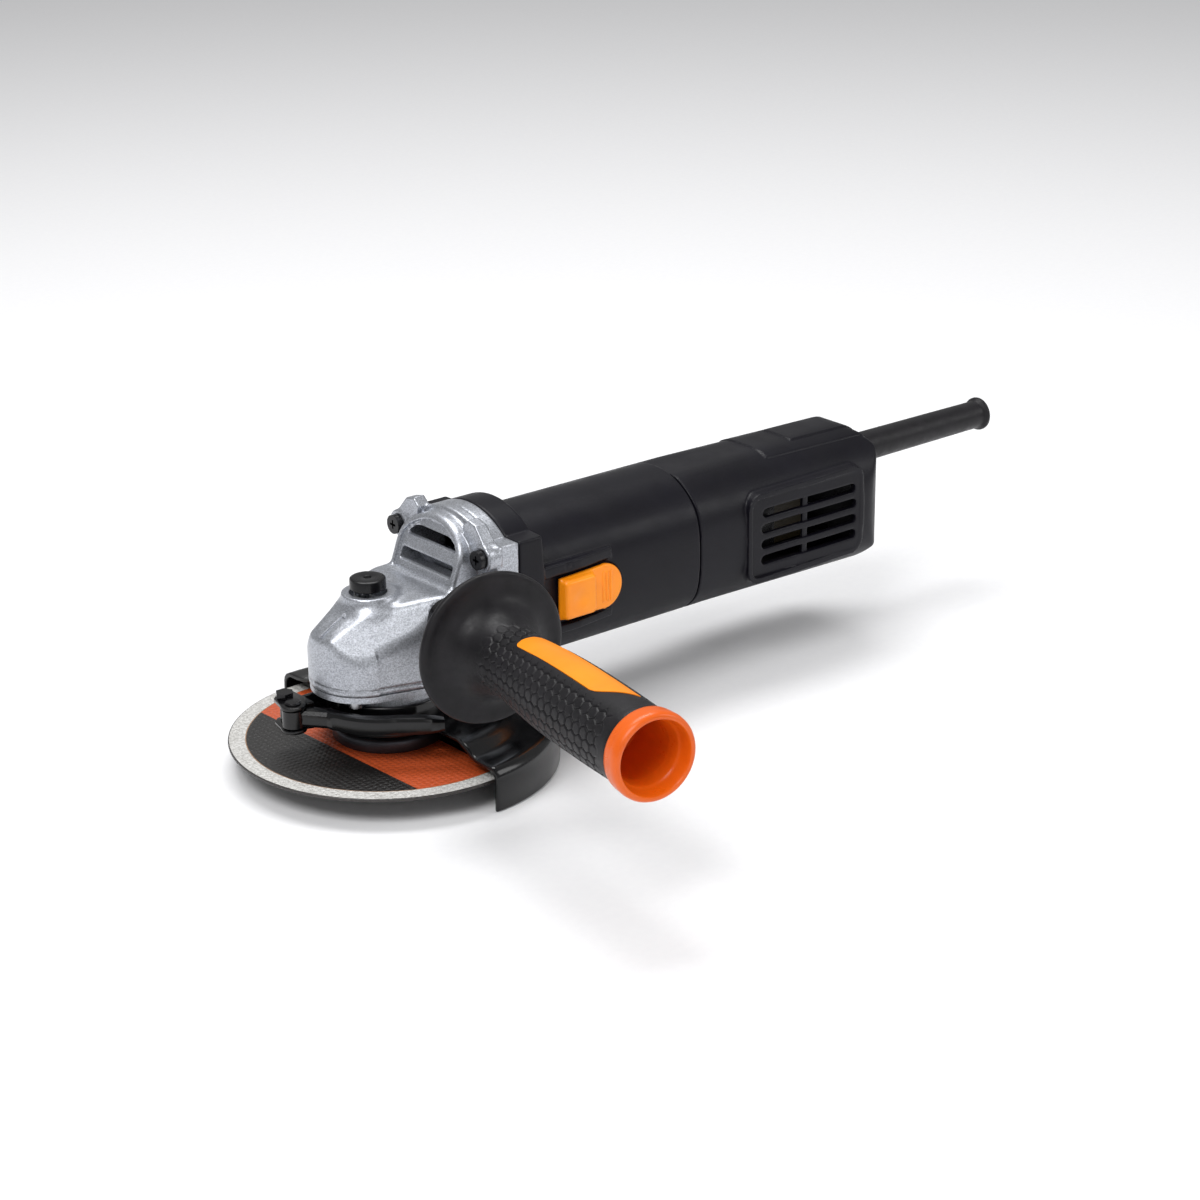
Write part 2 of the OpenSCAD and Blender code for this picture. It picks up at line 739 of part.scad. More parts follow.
module cord_clamp() {
    color("#34353a") difference() {
        mbox([clamp_x, -11, 16], [clamp_x + 9, 11, 20.6]);
        xcyl(4.3, clamp_x - 5, clamp_x + 15, 0, sleeve_up);
        for (y = [-1, 1]) translate([clamp_x + 4.5, y * 7.6, motor_z + 5]) cylinder(r = 1.6, h = 30);
    }
}

module clamp_screw(y) {
    color(steel) union() {
        translate([clamp_x + 4.5, y * 7.6, motor_z + 20.6]) cylinder(r = 2.6, h = 1.6);
        translate([clamp_x + 4.5, y * 7.6, motor_z + 12.2]) cylinder(r = 1.5, h = 8.6);
    }
}
module clamp_screw_1() { clamp_screw(-1); }
module clamp_screw_2() { clamp_screw(1); }

module cord_sleeve() {
    x1 = tail_x + sleeve_len;
    color(rubber) translate([0, 0, motor_z + sleeve_up]) rotate([0, 90, 0]) rotate_extrude()
        polygon([[cord_hole_d / 2, tail_x - 21.6], [sleeve_r, tail_x - 21.6],
            [sleeve_r, tail_x - 16], [sleeve_r + 2, tail_x - 16], [sleeve_r + 2, tail_x - 8.1],
            [sleeve_r, tail_x - 8.1], [sleeve_r, tail_x + 3], [sleeve_r - 0.8, x1 - 3.4],
            [sleeve_r, x1 - 2.2], [sleeve_r + 1.1, x1 - 1.2], [sleeve_r + 1.1, x1 - 0.4],
            [sleeve_r + 0.7, x1], [cord_hole_d / 2, x1]]);
}

// ---- side handle ----

module handle_stud() {
    color(steel) along_handle() translate([0, 0, 13.4])
        cylinder(r = handle_top_r - 0.02, h = 62);
}

module handle_core() {
    at = handle_flange_at;
    end = handle_end_at;
    color(orange) along_handle() difference() {
        union() {
            rotate_extrude() polygon([[0, boss_end + 0.2], [8, boss_end + 0.2], [8.6, at - 14],
                [9, at - 13.9], [9, hollow_at], [hollow_r + 1.6, hollow_at + 1], [hollow_r + 1.6, end - 9],
                [grip_r + 0.5, end - 9], [grip_r + 1.5, end - 7],
                [grip_r + 1.5, end - 2], [grip_r, end], [0, end]]);
            intersection() {
                translate([-6.5, 5, inlay_at]) cube([13, 12, inlay_l]);
                cylinder(r = grip_r + 0.3, h = end);
            }
        }
        translate([0, 0, end - 10]) cylinder(r1 = hollow_r + 0.6, r2 = grip_r - 1.2, h = 10 + e);
        translate([0, 0, hollow_at + 6]) cylinder(r = hollow_r, h = 40);
        translate([0, 0, 20]) cylinder(r = handle_top_r, h = 56.5);
    }
}

module handle_grip() {
    at = handle_flange_at;
    end = handle_end_at;
    color(rubber) along_handle() difference() {
        rotate_extrude() polygon([[9 + fit, at - 13.8], [14, at - 13.8], [16, at - 8], [24, at - 5],
            [handle_flange_r - 1, at - 3], [handle_flange_r, at - 1.5], [handle_flange_r, at],
            [handle_flange_r - 1.2, at + 1], [23, at + 1.6], [18.5, at + 4.5], [15.2, at + 10],
            [13.6, at + 17], [13.2, at + 24], [grip_r - 0.9, at + 40], [grip_r, at + 62],
            [grip_r, at + 84], [grip_r - 0.7, end - 9.1], [hollow_r + 1.6 + fit, end - 9.1],
            [hollow_r + 1.6 + fit, hollow_at + 0.9], [9 + fit, hollow_at - 0.1]]);
        translate([-6.6, 4.9, inlay_at - 0.1]) cube([13.2, 14, inlay_l + 0.2]);
    }
}

// ---- guard ----

// The guard's dished plate, skirt and inner ring, turned all round; its open side keeps only the ring.
module guard_shell() {
    zc = band_z;
    zr = motor_z - 42;
    far = 2 * guard_r;
    sector = [for (i = [0:4]) guard_to + (360 + guard_from - guard_to) * i / 4];
    color(enamel) difference() {
        rotate_extrude() polygon([[band_r, zc - guard_t], [44, zc - guard_t],
            [50, zr - guard_t + 2.4], [guard_r - 6, zr - guard_t], [guard_r - guard_t, zr - guard_t - 1.2],
            [guard_r - guard_t, -guard_drop], [guard_r, -guard_drop], [guard_r, zr - 2],
            [guard_r - 1.6, zr], [guard_r - 6, zr], [50.5, zr + 2.4], [44.5, zc], [band_r, zc]]);
        difference() {
            translate([0, 0, -2 * guard_drop]) linear_extrude(height = 60)
                polygon(concat([[0, 0]], [for (a = sector) far * [cos(a), sin(a)]]));
            cylinder(r = guard_ring_r, h = 60);
        }
    }
}

module guard_band() {
    color(enamel) difference() {
        zring(band_r + band_t, band_r, band_z + 0.02, band_top);
        rotate([0, 0, 172]) translate([0, -1.5, 0]) cube([60, 3, 60]);
    }
}

// Clevis at the front of the band that carries the lever's pin and the clamp bolt.
module guard_bracket() {
    color(enamel) difference() {
        union() {
            for (z = [[band_z + 0.02, lever_z - 0.25], [lever_top + 0.25, lever_top + 1.7]])
                translate([0, 0, z[0]]) linear_extrude(height = z[1] - z[0]) {
                    polygon([[-34.2, 0], [-34.2, 15], [-43, 15], [-46.5, 3.5], [-41, -1.5]]);
                    translate(pin_at) circle(r = clevis_r);
                }
            translate([-37.4, 9.4, band_z + 0.02]) cube([3.2, 5.6, lever_top + 1.2 - band_z]);
            translate([-36, 9.4, band_z + 0.02]) cube([14, 2, band_top - band_z - 0.1]);
        }
        translate([pin_at[0], pin_at[1], 0]) cylinder(r = pin_r + fit, h = 60);
        translate(bolt_at) cylinder(r = pin_r + joint_gap, h = 60);
        zring(band_r + band_t + 0.02, 1, 0, 60);
    }
}

module lever_pin() {
    color(steel) translate([pin_at[0], pin_at[1], band_z + joint_gap]) union() {
        cylinder(r = pin_r, h = lever_top + 1.9 - band_z);
        translate([0, 0, lever_top + 1.75 - band_z]) cylinder(r = pin_head_r, h = 1);
    }
}

module clamp_bolt() {
    color(steel) translate([bolt_at[0], bolt_at[1], band_z + joint_gap]) union() {
        cylinder(r = pin_r, h = lever_top + 1.9 - band_z);
        translate([0, 0, lever_top + 1.8 - band_z]) cylinder(r = bolt_head_r, h = 2, $fn = 6);
    }
}

// Middle line of the lever around the spindle: it follows the band, then flares out to its tip.
function lever_mid(a) = let (bend = max(0, (a - lever_bend) / (lever_tip - lever_bend)))
    (lever_in + 1.4 + lever_t / 2 + 6 * pow(bend, 1.4)) * [cos(a), sin(a)];

module clamp_lever() {
    mid = concat([pin_at], [for (a = [lever_from:3:lever_tip]) lever_mid(a)]);
    last = len(mid) - 1;
    across = [for (i = [0:last]) let (d = mid[min(i + 1, last)] - mid[max(i - 1, 0)])
        [-d[1], d[0]] / norm(d) * lever_t / 2 * (i == last ? 0.6 : 1)];
    color(enamel) translate([0, 0, lever_z]) linear_extrude(height = lever_top - lever_z)
        difference() {
            union() {
                polygon(concat([for (i = [0:last]) mid[i] - across[i]],
                    [for (i = [last:-1:0]) mid[i] + across[i]]));
                translate(pin_at) circle(r = lever_eye_r);
            }
            translate(pin_at) circle(r = pin_r + fit);
        }
}

// ---- moving controls ----

module switch_slider() {
    y0 = -body_side + 0.8;
    color(orange) union() {
        hull() {
            mbox([switch_x, y0 - 2.6, -8.4], [switch_x + switch_l - 9, y0, 8.2]);
            translate([switch_x + switch_l - 9.6, y0, motor_z - 0.1]) rotate([90, 0, 0])
                cylinder(r = 9.4, h = 2, $fn = 48);
        }
        hull() {
            mbox([switch_x, y0 - 2, -8.4], [switch_x + 20, y0 - 1, 8.2]);
            mbox([switch_x + 1.2, y0 - 6, -7], [switch_x + 14.5, y0 - 1, 6.8]);
        }
        mbox([switch_x + 9.2, y0 - 1, -5], [switch_x + 22, -link_y - 1.6, -0.8]);
    }
}

module switch_link() {
    color("#2b2c30") union() {
        mbox([switch_x + 9.2, -link_y - 1.6 + 0.05, -link_h], [161, -link_y, 0]);
        mbox([158, -link_y, -link_h], [161, -14.5, 0]);
        mbox([161, -17.8 - 1.6, -link_h], [172, -17.8, 0]);
        mbox([160, -19.4, -link_h], [161.2, -17.8, 0]);
    }
}

module lock_button() {
    color(enamel) translate([button_x, 0, boss_z]) difference() {
        union() {
            cylinder(r = button_d / 2, h = button_h - 0.8);
            translate([0, 0, button_h - 0.8])
                cylinder(r1 = button_d / 2, r2 = button_d / 2 - 0.8, h = 0.8);
        }
        translate([0, 0, button_h - 0.7]) cylinder(r = 1.6, h = 2);
        translate([lock_x - button_x, 0, -1]) cylinder(r = 2 + fit, h = 3.5);
    }
}

module lock_pin() {
    color(steel) translate([lock_x, 0, web_z + 2]) cylinder(r = 2, h = boss_z + 2.4 - web_z - 2);
}

// Round wire along a helix, swept as one tube.
module lock_spring() {
    turns = 2;
    sides = 6;
    per_turn = 12;
    steps = turns * per_turn;
    wire = 0.45;
    z0 = boss_z - lock_travel - 0.7 + wire;
    z1 = boss_z - wire;
    coil_r = 3.3;
    pts = [for (i = [0:steps], s = [0:sides - 1]) let (a = 360 * i / per_turn, b = 360 * s / sides,
        r = coil_r + wire * cos(b)) [r * cos(a), r * sin(a), z0 + (z1 - z0) * i / steps + wire * sin(b)]];
    skin = [for (i = [0:steps - 1], s = [0:sides - 1]) let (n = (s + 1) % sides)
        [i * sides + s, (i + 1) * sides + s, (i + 1) * sides + n, i * sides + n]];
    ends = [[for (s = [0:sides - 1]) s], [for (s = [sides - 1:-1:0]) steps * sides + s]];
    color(steel) translate([lock_x, 0, 0]) polyhedron(points = pts, faces = concat(skin, ends));
}

gear_case();
bearing_cover();
cover_screw_1();
cover_screw_2();
cover_screw_3();
cover_screw_4();
case_screw_1();
case_screw_2();
case_screw_3();
case_screw_4();
spindle_bearing();
spindle_bush();
motor_bearing_front();
motor_bearing_rear();
fan_baffle();
stator_core();
field_coil_upper();
field_coil_lower();
motor_housing();
brush_holder_upper();
brush_holder_lower();
carbon_brush_upper();
carbon_brush_lower();
rear_cover();
rear_screw_1();
rear_screw_2();
mains_switch();
capacitor();
cord_clamp();
clamp_screw_1();
clamp_screw_2();
cord_sleeve();
handle_stud();
handle_core();
handle_grip();
lock_spring();
spindle();
bevel_gear();
inner_flange();
cutting_disc();
disc_ring();
clamp_nut();
armature_shaft();
pinion();
pinion_nut();
fan();
armature_core();
armature_windings();
commutator();
guard_shell();
guard_band();
guard_bracket();
lever_pin();
clamp_bolt();
clamp_lever();
switch_slider();
switch_link();
lock_button();
lock_pin();
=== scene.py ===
"""Looks for an angle grinder for 125 mm discs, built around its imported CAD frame.

All sizes in the classes are millimetres; meshes are written in metres. Heights "up" are counted
from the motor axis. +X runs back to the cord, -Y to the side handle, +Z up along the spindle.
"""

import json
import logging
import math
from dataclasses import dataclass, field
from enum import Enum
from typing import Callable, Iterable, Sequence

import bmesh
import bpy
import numpy as np
from mathutils import Euler, Matrix, Vector
from mathutils.bvhtree import BVHTree

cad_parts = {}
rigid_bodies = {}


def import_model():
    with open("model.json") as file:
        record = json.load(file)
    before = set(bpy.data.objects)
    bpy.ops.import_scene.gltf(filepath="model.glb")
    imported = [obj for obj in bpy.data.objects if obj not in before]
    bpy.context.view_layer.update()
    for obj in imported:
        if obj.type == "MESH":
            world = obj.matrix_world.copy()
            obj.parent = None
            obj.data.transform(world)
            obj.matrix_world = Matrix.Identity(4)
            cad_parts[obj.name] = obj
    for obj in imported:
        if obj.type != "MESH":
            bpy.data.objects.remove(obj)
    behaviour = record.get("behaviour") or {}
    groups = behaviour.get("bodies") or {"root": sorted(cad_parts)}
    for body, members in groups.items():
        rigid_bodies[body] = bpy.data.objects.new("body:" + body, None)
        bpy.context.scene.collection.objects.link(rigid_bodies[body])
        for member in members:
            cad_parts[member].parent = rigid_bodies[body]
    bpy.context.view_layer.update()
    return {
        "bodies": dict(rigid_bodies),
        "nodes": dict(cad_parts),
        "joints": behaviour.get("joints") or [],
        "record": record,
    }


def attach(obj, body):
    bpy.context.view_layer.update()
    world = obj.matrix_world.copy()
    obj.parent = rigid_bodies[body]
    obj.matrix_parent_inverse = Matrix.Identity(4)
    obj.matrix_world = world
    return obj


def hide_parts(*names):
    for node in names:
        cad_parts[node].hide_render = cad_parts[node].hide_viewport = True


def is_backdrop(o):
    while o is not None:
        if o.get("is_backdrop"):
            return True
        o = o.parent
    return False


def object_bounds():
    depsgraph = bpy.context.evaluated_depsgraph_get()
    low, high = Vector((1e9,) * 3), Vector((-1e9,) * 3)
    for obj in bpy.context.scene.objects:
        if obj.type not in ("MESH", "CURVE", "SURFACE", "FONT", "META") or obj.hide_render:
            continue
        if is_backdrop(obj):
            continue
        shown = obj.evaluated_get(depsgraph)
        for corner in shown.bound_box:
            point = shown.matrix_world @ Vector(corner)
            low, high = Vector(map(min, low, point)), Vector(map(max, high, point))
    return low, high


LOG = logging.getLogger("grinder")
MM = 0.001
AXIS = 53.5  # height of the motor axis
Field = Callable[[np.ndarray, np.ndarray, np.ndarray], np.ndarray]


# ---- finishes ----


def linear(hex_colour: str) -> tuple[float, float, float, float]:
    """Turn an sRGB hex colour into linear RGBA.

    Args:
        hex_colour: Six hex digits, with or without a leading #.

    Returns:
        Linear red, green, blue and an alpha of 1.
    """
    digits = hex_colour.lstrip("#")
    parts = [int(digits[i : i + 2], 16) / 255 for i in (0, 2, 4)]
    r, g, b = (c / 12.92 if c <= 0.04045 else ((c + 0.055) / 1.055) ** 2.4 for c in parts)
    return (r, g, b, 1.0)


def add(tree: bpy.types.NodeTree, kind: str, inputs: dict | None = None, **settings) -> bpy.types.Node:
    """Add a node with its settings, values and links.

    Args:
        tree: The node tree to add to.
        kind: The node's type name.
        inputs: Input name or index to a value, or to an output socket to link from.
        settings: Properties of the node itself.

    Returns:
        The new node.
    """
    node = tree.nodes.new(kind)
    for key, value in settings.items():
        setattr(node, key, value)
    for key, value in (inputs or {}).items():
        if isinstance(value, bpy.types.NodeSocket):
            tree.links.new(value, node.inputs[key])
        else:
            node.inputs[key].default_value = value
    return node


class Pattern(Enum):
    """How a surface was made, which decides its fine relief and colour."""

    MOULDED = "moulded"
    CAST = "cast"
    TURNED = "turned"
    STACKED = "stacked"
    WOUND = "wound"
    GRIT = "grit"


@dataclass(frozen=True)
class Finish:
    """One finish: its colours, gloss and the real sizes of its texture.

    grain is the size in mm of the fine relief and depth its height in mm; mottle is the size in
    mm of the slow colour change between base and shade.
    """

    name: str
    slot: str
    base: str
    shade: str
    rough: tuple[float, float]
    metallic: float = 0.0
    coat: float = 0.0
    sheen: float = 0.0
    gleam: float = 0.5
    pattern: Pattern = Pattern.MOULDED
    grain: float = 0.6
    depth: float = 0.02
    mottle: float = 14.0
    spark: float = 0.0

    def build(self) -> bpy.types.Material:
        """Return this finish's material, making it the first time."""
        ready = bpy.data.materials.get(self.name)
        if ready:
            return ready
        mat = bpy.data.materials.new(self.name)
        mat.use_nodes = True
        tree = mat.node_tree
        tree.nodes.clear()
        place = add(tree, "ShaderNodeTexCoord").outputs["Object"]
        colour = self.colour(tree, place)
        height = self.height(tree, place)
        slow = add(tree, "ShaderNodeTexNoise", {"Vector": place, "Scale": 1000 / (self.mottle * 0.45),
                                                "Detail": 4.0, "Roughness": 0.6})
        gloss = add(tree, "ShaderNodeMapRange", {"Value": slow.outputs["Fac"], "From Min": 0.3,
                    "From Max": 0.7, "To Min": self.rough[0], "To Max": self.rough[1]})
        bump = add(tree, "ShaderNodeBump", {"Height": height, "Strength": 1.0,
                                            "Distance": self.depth * MM})
        shader = add(tree, "ShaderNodeBsdfPrincipled", {
            "Base Color": colour, "Roughness": gloss.outputs["Result"], "Normal": bump.outputs["Normal"],
            "Metallic": self.metallic, "Specular IOR Level": self.gleam, "Coat Weight": self.coat,
            "Coat Roughness": 0.12, "Sheen Weight": self.sheen, "Sheen Roughness": 0.5})
        add(tree, "ShaderNodeOutputMaterial", {"Surface": shader.outputs["BSDF"]})
        return mat

    def colour(self, tree: bpy.types.NodeTree, place: bpy.types.NodeSocket) -> bpy.types.NodeSocket:
        """Mottle between the two colours, with sparkle or bands where the finish has them.

        Args:
            tree: The material's tree.
            place: Object coordinates.

        Returns:
            The colour socket.
        """
        noise = add(tree, "ShaderNodeTexNoise", {"Vector": place, "Scale": 1000 / self.mottle,
                                                 "Detail": 6.0, "Roughness": 0.62})
        spread = add(tree, "ShaderNodeMapRange", {"Value": noise.outputs["Fac"], "From Min": 0.3,
                                                  "From Max": 0.7})
        mixed = add(tree, "ShaderNodeMix", {"Factor": spread.outputs["Result"], "A": linear(self.base),
                    "B": linear(self.shade)}, data_type="RGBA")
        mixed.inputs[6].default_value = linear(self.base)
        mixed.inputs[7].default_value = linear(self.shade)
        out = mixed.outputs[2]
        if self.spark:
            # flakes of bright pigment about as wide as the grain
            cells = add(tree, "ShaderNodeTexVoronoi", {"Vector": place, "Scale": 1000 / (self.grain * 0.8)})
            tone = add(tree, "ShaderNodeSeparateColor", {"Color": cells.outputs["Color"]})
            flake = add(tree, "ShaderNodeMapRange", {"Value": tone.outputs["Red"], "From Min": 0.0,
                        "From Max": 1.0, "To Min": 1 - self.spark, "To Max": 1 + self.spark})
            scaled = add(tree, "ShaderNodeVectorMath", {0: out, "Scale": flake.outputs["Result"]},
                         operation="SCALE")
            out = scaled.outputs[0]
        if self.pattern in (Pattern.STACKED, Pattern.WOUND):
            step = 0.5 if self.pattern is Pattern.STACKED else 0.8
            wave = add(tree, "ShaderNodeTexWave", {"Vector": place, "Scale": 1000 / step / 20,
                       "Distortion": 0.0 if self.pattern is Pattern.STACKED else 1.5}, bands_direction="X")
            bands = add(tree, "ShaderNodeMapRange", {"Value": wave.outputs["Fac"], "To Min": 0.55})
            dim = add(tree, "ShaderNodeVectorMath", {0: out, "Scale": bands.outputs["Result"]},
                      operation="SCALE")
            out = dim.outputs[0]
        return out

    def height(self, tree: bpy.types.NodeTree, place: bpy.types.NodeSocket) -> bpy.types.NodeSocket:
        """Fine relief for the way the surface was made.

        Args:
            tree: The material's tree.
            place: Object coordinates.

        Returns:
            The height socket, from 0 to 1.
        """
        scale = 1000 / self.grain
        if self.pattern is Pattern.TURNED:
            # turning marks: rings round the spindle axis, a lathe feed apart
            flat = add(tree, "ShaderNodeMapping", {"Vector": place, "Scale": (1.0, 1.0, 1.0)})
            rings = add(tree, "ShaderNodeTexWave", {"Vector": flat.outputs["Vector"], "Scale": scale / 20,
                        "Distortion": 0.6, "Detail": 2.0}, wave_type="RINGS", rings_direction="Z")
            return rings.outputs["Fac"]
        noise = add(tree, "ShaderNodeTexNoise", {"Vector": place, "Scale": scale, "Detail": 3.0,
                                                 "Roughness": 0.55})
        if self.pattern in (Pattern.CAST, Pattern.GRIT):
            # sand grain: rounded pits between the noise's soft swells
            cells = add(tree, "ShaderNodeTexVoronoi", {"Vector": place, "Scale": scale * 1.15},
                        feature="SMOOTH_F1")
            both = add(tree, "ShaderNodeMath", {0: cells.outputs["Distance"], 1: noise.outputs["Fac"]},
                       operation="ADD")
            return both.outputs[0]
        return noise.outputs["Fac"]


# Die-cast aluminium sprayed with silver flake paint: bright, grainy and satin
SILVER = Finish("die_cast_silver_paint", "silver_paint", "#b0b3b9", "#a6a9b0", (0.32, 0.40), 0.78,
                pattern=Pattern.CAST, grain=0.42, depth=0.022, mottle=30, spark=0.34)
# Glass-filled nylon from a spark-eroded mould: near-black with a soft, even sheen
NYLON = Finish("glass_filled_nylon", "black_plastic", "#100f17", "#0c0b11", (0.32, 0.44),
               pattern=Pattern.CAST, grain=0.55, depth=0.03, mottle=26, gleam=0.2)
# Smooth moulded ABS for small parts
ABS = Finish("black_abs", "dark_plastic", "#0f0f12", "#0a0a0c", (0.22, 0.34), grain=0.9, depth=0.008, gleam=0.28)
# Soft overmoulded rubber: matt, a little dusty
RUBBER = Finish("overmoulded_rubber", "black_rubber", "#0c0b0e", "#19171b", (0.34, 0.54),
                sheen=0.03, grain=0.6, depth=0.03, mottle=8, gleam=0.26)
# Satin moulded orange plastic
ORANGE = Finish("orange_abs", "orange_plastic", "#ff9814", "#fc8c0c", (0.28, 0.38),
                grain=0.8, depth=0.012, mottle=18, gleam=0.4)
# The same plastic a shade redder, as on the handle's end ring
RING = Finish("deep_orange_abs", "orange_plastic", "#e2620e", "#d6570a", (0.26, 0.36),
              grain=0.8, depth=0.012, mottle=18, gleam=0.4)
# Enamel on steel sheet: gloss black with a faint orange peel
ENAMEL = Finish("stoved_enamel", "black_enamel", "#070708", "#0b0b0d", (0.14, 0.26), coat=0.12,
                grain=2.2, depth=0.012, mottle=20, gleam=0.36)
# Black oxide on turned steel
OXIDE = Finish("blackened_steel", "dark_steel", "#4a4b50", "#3b3c41", (0.36, 0.5), 0.85,
               pattern=Pattern.TURNED, grain=0.6, depth=0.008)
# Turned bright steel
STEEL = Finish("turned_steel", "steel", "#b9bbbe", "#a2a4a8", (0.24, 0.36), 1.0,
               pattern=Pattern.TURNED, grain=0.5, depth=0.006)
# Phosphated black screws, lightly oiled
SCREW = Finish("phosphated_screw", "black_screw", "#17171a", "#101012", (0.18, 0.3), 0.4, grain=0.7, depth=0.01)
BRONZE = Finish("sintered_bronze", "bronze", "#b58a52", "#9a7340", (0.3, 0.45), 1.0, grain=0.4, depth=0.02)
LAMINATE = Finish("electrical_steel_stack", "laminations", "#8d9096", "#75787e", (0.34, 0.5), 0.95,
                  pattern=Pattern.STACKED, grain=0.5, depth=0.02)
COPPER = Finish("enamelled_copper_wire", "copper", "#b4622f", "#8f4520", (0.25, 0.4), 0.9,
                pattern=Pattern.WOUND, grain=0.8, depth=0.08)
CARBON = Finish("carbon_brush", "carbon", "#2c2c2e", "#1f1f21", (0.45, 0.6), 0.1, grain=0.3, depth=0.02)
# Film capacitor: its yellow case painted dark brown, painted shade for the dark inside of the housing seen through the
# vents
FILM_IN_PAINTED_SHADE = Finish("film_capacitor_painted_shade", "yellow_plastic", "#332b14", "#2a2310", (0.4, 0.5), grain=1.0, depth=0.01)


@dataclass(frozen=True)
class DiscFinish:
    """The cutting disc: resin and grit on woven glass, with a printed label."""

    name: str = "bonded_abrasive_with_label"
    slot: str = "abrasive"
    grit: str = "#1f1c1c"
    rim: str = "#c9c8c4"
    black: str = "#1d1b1a"
    orange: str = "#c4542a"
    label_r: float = 55.8
    rim_r: float = 62.0
    mesh: float = 2.4

    def build(self) -> bpy.types.Material:
        """Return the disc's material, making it the first time."""
        ready = bpy.data.materials.get(self.name)
        if ready:
            return ready
        mat = bpy.data.materials.new(self.name)
        mat.use_nodes = True
        tree = mat.node_tree
        tree.nodes.clear()
        place = add(tree, "ShaderNodeTexCoord").outputs["Object"]
        xyz = add(tree, "ShaderNodeSeparateXYZ", {"Vector": place})
        x, y = xyz.outputs["X"], xyz.outputs["Y"]
        x2 = add(tree, "ShaderNodeMath", {0: x, 1: x}, operation="MULTIPLY").outputs[0]
        r2 = add(tree, "ShaderNodeMath", {0: y, 1: y, 2: x2}, operation="MULTIPLY_ADD").outputs[0]
        radius = add(tree, "ShaderNodeMath", {0: r2}, operation="SQRT").outputs[0]
        grain = add(tree, "ShaderNodeTexNoise", {"Vector": place, "Scale": 1000 / 0.7, "Detail": 5.0,
                                                 "Roughness": 0.7}).outputs["Fac"]
        speck = add(tree, "ShaderNodeTexVoronoi", {"Vector": place, "Scale": 1000 / 0.55})
        weave = self.weave(tree, x, y)
        # printed label: an orange band across the disc between two black fields
        left = add(tree, "ShaderNodeMath", {0: y, 1: 0.0464, 2: x}, operation="MULTIPLY_ADD").outputs[0]
        past_left = self.over(tree, left, -0.0255)
        past_right = self.over(tree, x, 0.0099)
        band = add(tree, "ShaderNodeMath", {0: past_left, 1: past_right}, operation="SUBTRACT").outputs[0]
        label = self.mix(tree, band, linear(self.black), linear(self.orange))
        worn = add(tree, "ShaderNodeMapRange", {"Value": grain, "From Min": 0.35, "From Max": 0.7,
                                                "To Min": 0.75, "To Max": 1.2}).outputs["Result"]
        label = add(tree, "ShaderNodeVectorMath", {0: label, "Scale": worn}, operation="SCALE").outputs[0]
        rim_tone = add(tree, "ShaderNodeSeparateColor", {"Color": speck.outputs["Color"]}).outputs["Red"]
        rim = self.mix(tree, rim_tone, linear("#aeaca8"), linear("#deddda"))
        grit = self.mix(tree, rim_tone, linear(self.grit), linear("#35302e"))
        hair = add(tree, "ShaderNodeMath", {0: radius, 1: 0.0556, 2: 0.0002}, operation="COMPARE").outputs[0]
        label = self.mix(tree, hair, label, linear("#9c7a5e"))
        shown = self.mix(tree, self.over(tree, radius, self.label_r * MM), label, rim)
        shown = self.mix(tree, self.over(tree, radius, self.rim_r * MM), shown, grit)
        # the underside is bare grit and mesh
        below = add(tree, "ShaderNodeMath", {0: xyz.outputs["Z"], 1: 0.00465}, operation="LESS_THAN").outputs[0]
        shown = self.mix(tree, below, shown, grit)
        high = add(tree, "ShaderNodeMath", {0: grain, 1: weave}, operation="ADD").outputs[0]
        bump = add(tree, "ShaderNodeBump", {"Height": high, "Strength": 0.9, "Distance": 0.00012})
        shader = add(tree, "ShaderNodeBsdfPrincipled", {"Base Color": shown, "Roughness": 0.36,
                     "Normal": bump.outputs["Normal"], "Coat Weight": 0.15, "Coat Roughness": 0.3})
        add(tree, "ShaderNodeOutputMaterial", {"Surface": shader.outputs["BSDF"]})
        return mat

    def weave(self, tree: bpy.types.NodeTree, x: bpy.types.NodeSocket,
              y: bpy.types.NodeSocket) -> bpy.types.NodeSocket:
        """Relief of the glass mesh that shows through the label.

        Args:
            tree: The material's tree.
            x: Position across.
            y: Position along.

        Returns:
            The height socket.
        """
        turn = 2 * math.pi / (self.mesh * MM)
        waves = []
        for axis in (x, y):
            phase = add(tree, "ShaderNodeMath", {0: axis, 1: turn}, operation="MULTIPLY").outputs[0]
            waves.append(add(tree, "ShaderNodeMath", {0: phase}, operation="SINE").outputs[0])
        return add(tree, "ShaderNodeMath", {0: waves[0], 1: waves[1]}, operation="MAXIMUM").outputs[0]

    def over(self, tree: bpy.types.NodeTree, value: bpy.types.NodeSocket,
             limit: float) -> bpy.types.NodeSocket:
        """Return 1 where value is above limit, else 0."""
        return add(tree, "ShaderNodeMath", {0: value, 1: limit}, operation="GREATER_THAN").outputs[0]

    def mix(self, tree: bpy.types.NodeTree, share: bpy.types.NodeSocket, low, high) -> bpy.types.NodeSocket:
        """Mix two colours, given as sockets or values, by a share."""
        node = add(tree, "ShaderNodeMix", {0: share}, data_type="RGBA")
        for index, value in ((6, low), (7, high)):
            if isinstance(value, bpy.types.NodeSocket):
                tree.links.new(value, node.inputs[index])
            else:
                node.inputs[index].default_value = value
        return node.outputs[2]


# ---- solid shapes as distance fields, and their meshes ----


def smooth_min(a: np.ndarray, b: np.ndarray, k: float) -> np.ndarray:
    """Join two shapes with a fillet of about k mm."""
    h = np.maximum(k - np.abs(a - b), 0) / k
    return np.minimum(a, b) - h * h * k / 4


def smooth_max(a: np.ndarray, b: np.ndarray, k: float) -> np.ndarray:
    """Cut one shape by another with a rounding of about k mm."""
    return -smooth_min(-a, -b, k)


